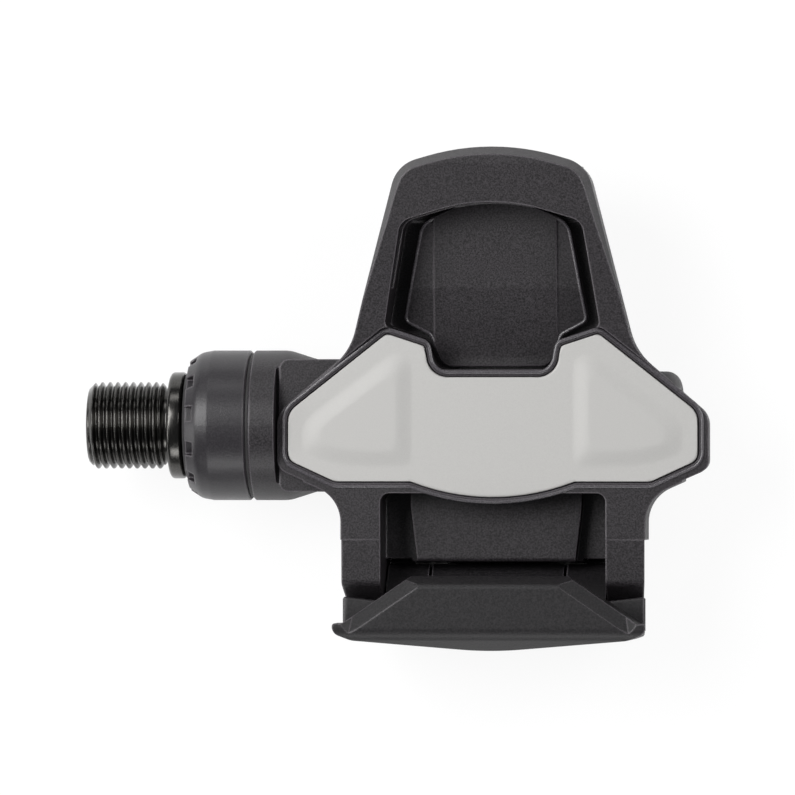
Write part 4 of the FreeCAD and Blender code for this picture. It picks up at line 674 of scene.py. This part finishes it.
def shoulder_surface(side):
    """Rows from the arm's inner face to the outside. Each row is a wedge with rounded
    corners: flat on top, and underneath a line beside the arm's sloping end, at
    SHOULDER_GAP from it. The wedge starts further forward the further out it is."""
    slope = (ARM_END[1] - ARM_HEEL[1]) / (ARM_END[0] - ARM_HEEL[0])
    lift = SHOULDER_GAP * math.hypot(1, slope)
    rows = []
    for share in np.linspace(0, 1, 24):
        out = SHOULDER_INNER + (SHOULDER_OUTER - SHOULDER_INNER) * share
        fall = 1 - math.sqrt(1 - max(0.0, share * 12 - 11) ** 2)
        top = SHOULDER_TOP - SHOULDER_ROUND * fall
        front = (top - ARM_END[1] - lift) / slope + ARM_END[0] - 0.25 - SHOULDER_FLARE * (1 - share)
        heel = (SHOULDER_LOW - ARM_END[1] - lift) / slope + ARM_END[0]
        wedge = rounded_outline(
            [
                (front, top, 0.3),
                (SHOULDER_REAR, top, 0.3),
                (SHOULDER_REAR, SHOULDER_LOW, 0.3),
                (heel, SHOULDER_LOW, 0.4),
            ],
            FINE,
        )
        y, z = wedge[:, 0], wedge[:, 1]
        x = side * (out - SHOULDER_DRAFT * (SHOULDER_TOP - z) * share)
        rows.append(np.stack([x + MIDDLE, y, z], axis=-1))
    rows = np.stack(rows)
    return rows if side > 0 else rows[::-1]


for side, name in ((1, "right_shoulder"), (-1, "left_shoulder")):
    shoulder = grid_mesh(name, shoulder_surface(side), latch_composite)
    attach(shoulder, "latch")


# studio


CENTRE = (0.037, 0.004, 0.0)


def soft_light(name, place, width, height, power):
    """A white rectangular lamp at a place in m, turned to the pedal's middle."""
    data = bpy.data.lights.new(name, "AREA")
    data.shape = "RECTANGLE"
    data.size, data.size_y = width, height
    data.energy = power
    lamp = bpy.data.objects.new(name, data)
    bpy.context.scene.collection.objects.link(lamp)
    lamp.location = place
    direction = Vector(CENTRE) - Vector(place)
    lamp.rotation_euler = direction.to_track_quat("-Z", "Y").to_euler()


soft_light("key", (-0.36, 0.2, 0.56), 0.46, 0.4, 5.7)
soft_light("fill", (0.5, 0.16, 0.42), 0.34, 0.34, 2.2)
soft_light("rear", (0.06, -0.6, 0.34), 0.5, 0.2, 1.8)
soft_light("front", (0.0, 0.62, 0.3), 0.5, 0.16, 0.8)
soft_light("side", (-0.6, -0.1, 0.22), 0.3, 0.2, 1.1)

world = bpy.data.worlds.new("pale_room")
bpy.context.scene.world = world
world.use_nodes = True
tree = world.node_tree
tree.nodes.clear()
rays = node(tree, "ShaderNodeLightPath")
seen = node(
    tree,
    "ShaderNodeMath",
    {0: rays.outputs["Is Camera Ray"], 1: rays.outputs["Is Transmission Ray"]},
    operation="ADD",
    use_clamp=True,
)
room = node(tree, "ShaderNodeBackground", Color=linear("#e6e8ec"), Strength=0.16)
backdrop = node(tree, "ShaderNodeBackground", Color=(1, 1, 1, 1), Strength=1.0)
mixed = node(
    tree, "ShaderNodeMixShader", {0: seen.outputs[0], 1: room.outputs[0], 2: backdrop.outputs[0]}
)
node(tree, "ShaderNodeOutputWorld", {"Surface": mixed.outputs[0]})


def make_floor():
    """A square floor just under the pedal's lowest point, pale, with a faint shadow."""
    half = 3.0
    height = cad_bounds[0][2] - 0.2 * MM
    plan = [(-half, -half), (half, -half), (half, half), (-half, half)]
    mesh = bpy.data.meshes.new("floor")
    mesh.from_pydata([(x, y, height) for x, y in plan], [], [(0, 1, 2, 3)])
    floor = bpy.data.objects.new("floor", mesh)
    bpy.context.scene.collection.objects.link(floor)
    material, tree = make_material("matt_white_floor")
    rays = node(tree, "ShaderNodeLightPath")
    glow = node(tree, "ShaderNodeEmission", Color=(1, 1, 1, 1), Strength=1.0)
    paper = node(tree, "ShaderNodeBsdfDiffuse", Color=linear("#f4f4f4"))
    share = node(tree, "ShaderNodeMath", {0: rays.outputs["Is Camera Ray"]}, operation="MULTIPLY")
    share.inputs[1].default_value = 0.9
    mixed = node(
        tree, "ShaderNodeMixShader", {0: share.outputs[0], 1: paper.outputs[0], 2: glow.outputs[0]}
    )
    finish_material(tree, mixed)
    mesh.materials.append(material)


make_floor()

# camera at the photograph's angle: from above, leaning 6 degrees to the outboard side

LEAN = math.radians(6.0)
MM_PER_PIXEL = 0.1635
FRAME_PIXELS = 795
LENS, SENSOR = 550.0, 36.0
AIM = Vector((37.16, 4.55, 0.0)) * MM
distance = FRAME_PIXELS * MM_PER_PIXEL * MM * LENS / SENSOR
camera_data = bpy.data.cameras.new("camera")
camera_data.lens = LENS
camera_data.sensor_width = SENSOR
camera_data.clip_start = 0.01
camera_data.clip_end = 20.0
camera = bpy.data.objects.new("camera", camera_data)
bpy.context.scene.collection.objects.link(camera)
back = Vector((math.sin(LEAN), 0, math.cos(LEAN)))
across = Vector((math.cos(LEAN), 0, -math.sin(LEAN)))
ahead = Vector((0, 1, 0))
camera.matrix_world = Matrix(
    (
        (across.x, ahead.x, back.x, AIM.x + back.x * distance),
        (across.y, ahead.y, back.y, AIM.y + back.y * distance),
        (across.z, ahead.z, back.z, AIM.z + back.z * distance),
        (0, 0, 0, 1),
    )
)
bpy.context.scene.camera = camera
bpy.context.scene.view_settings.view_transform = "Standard"
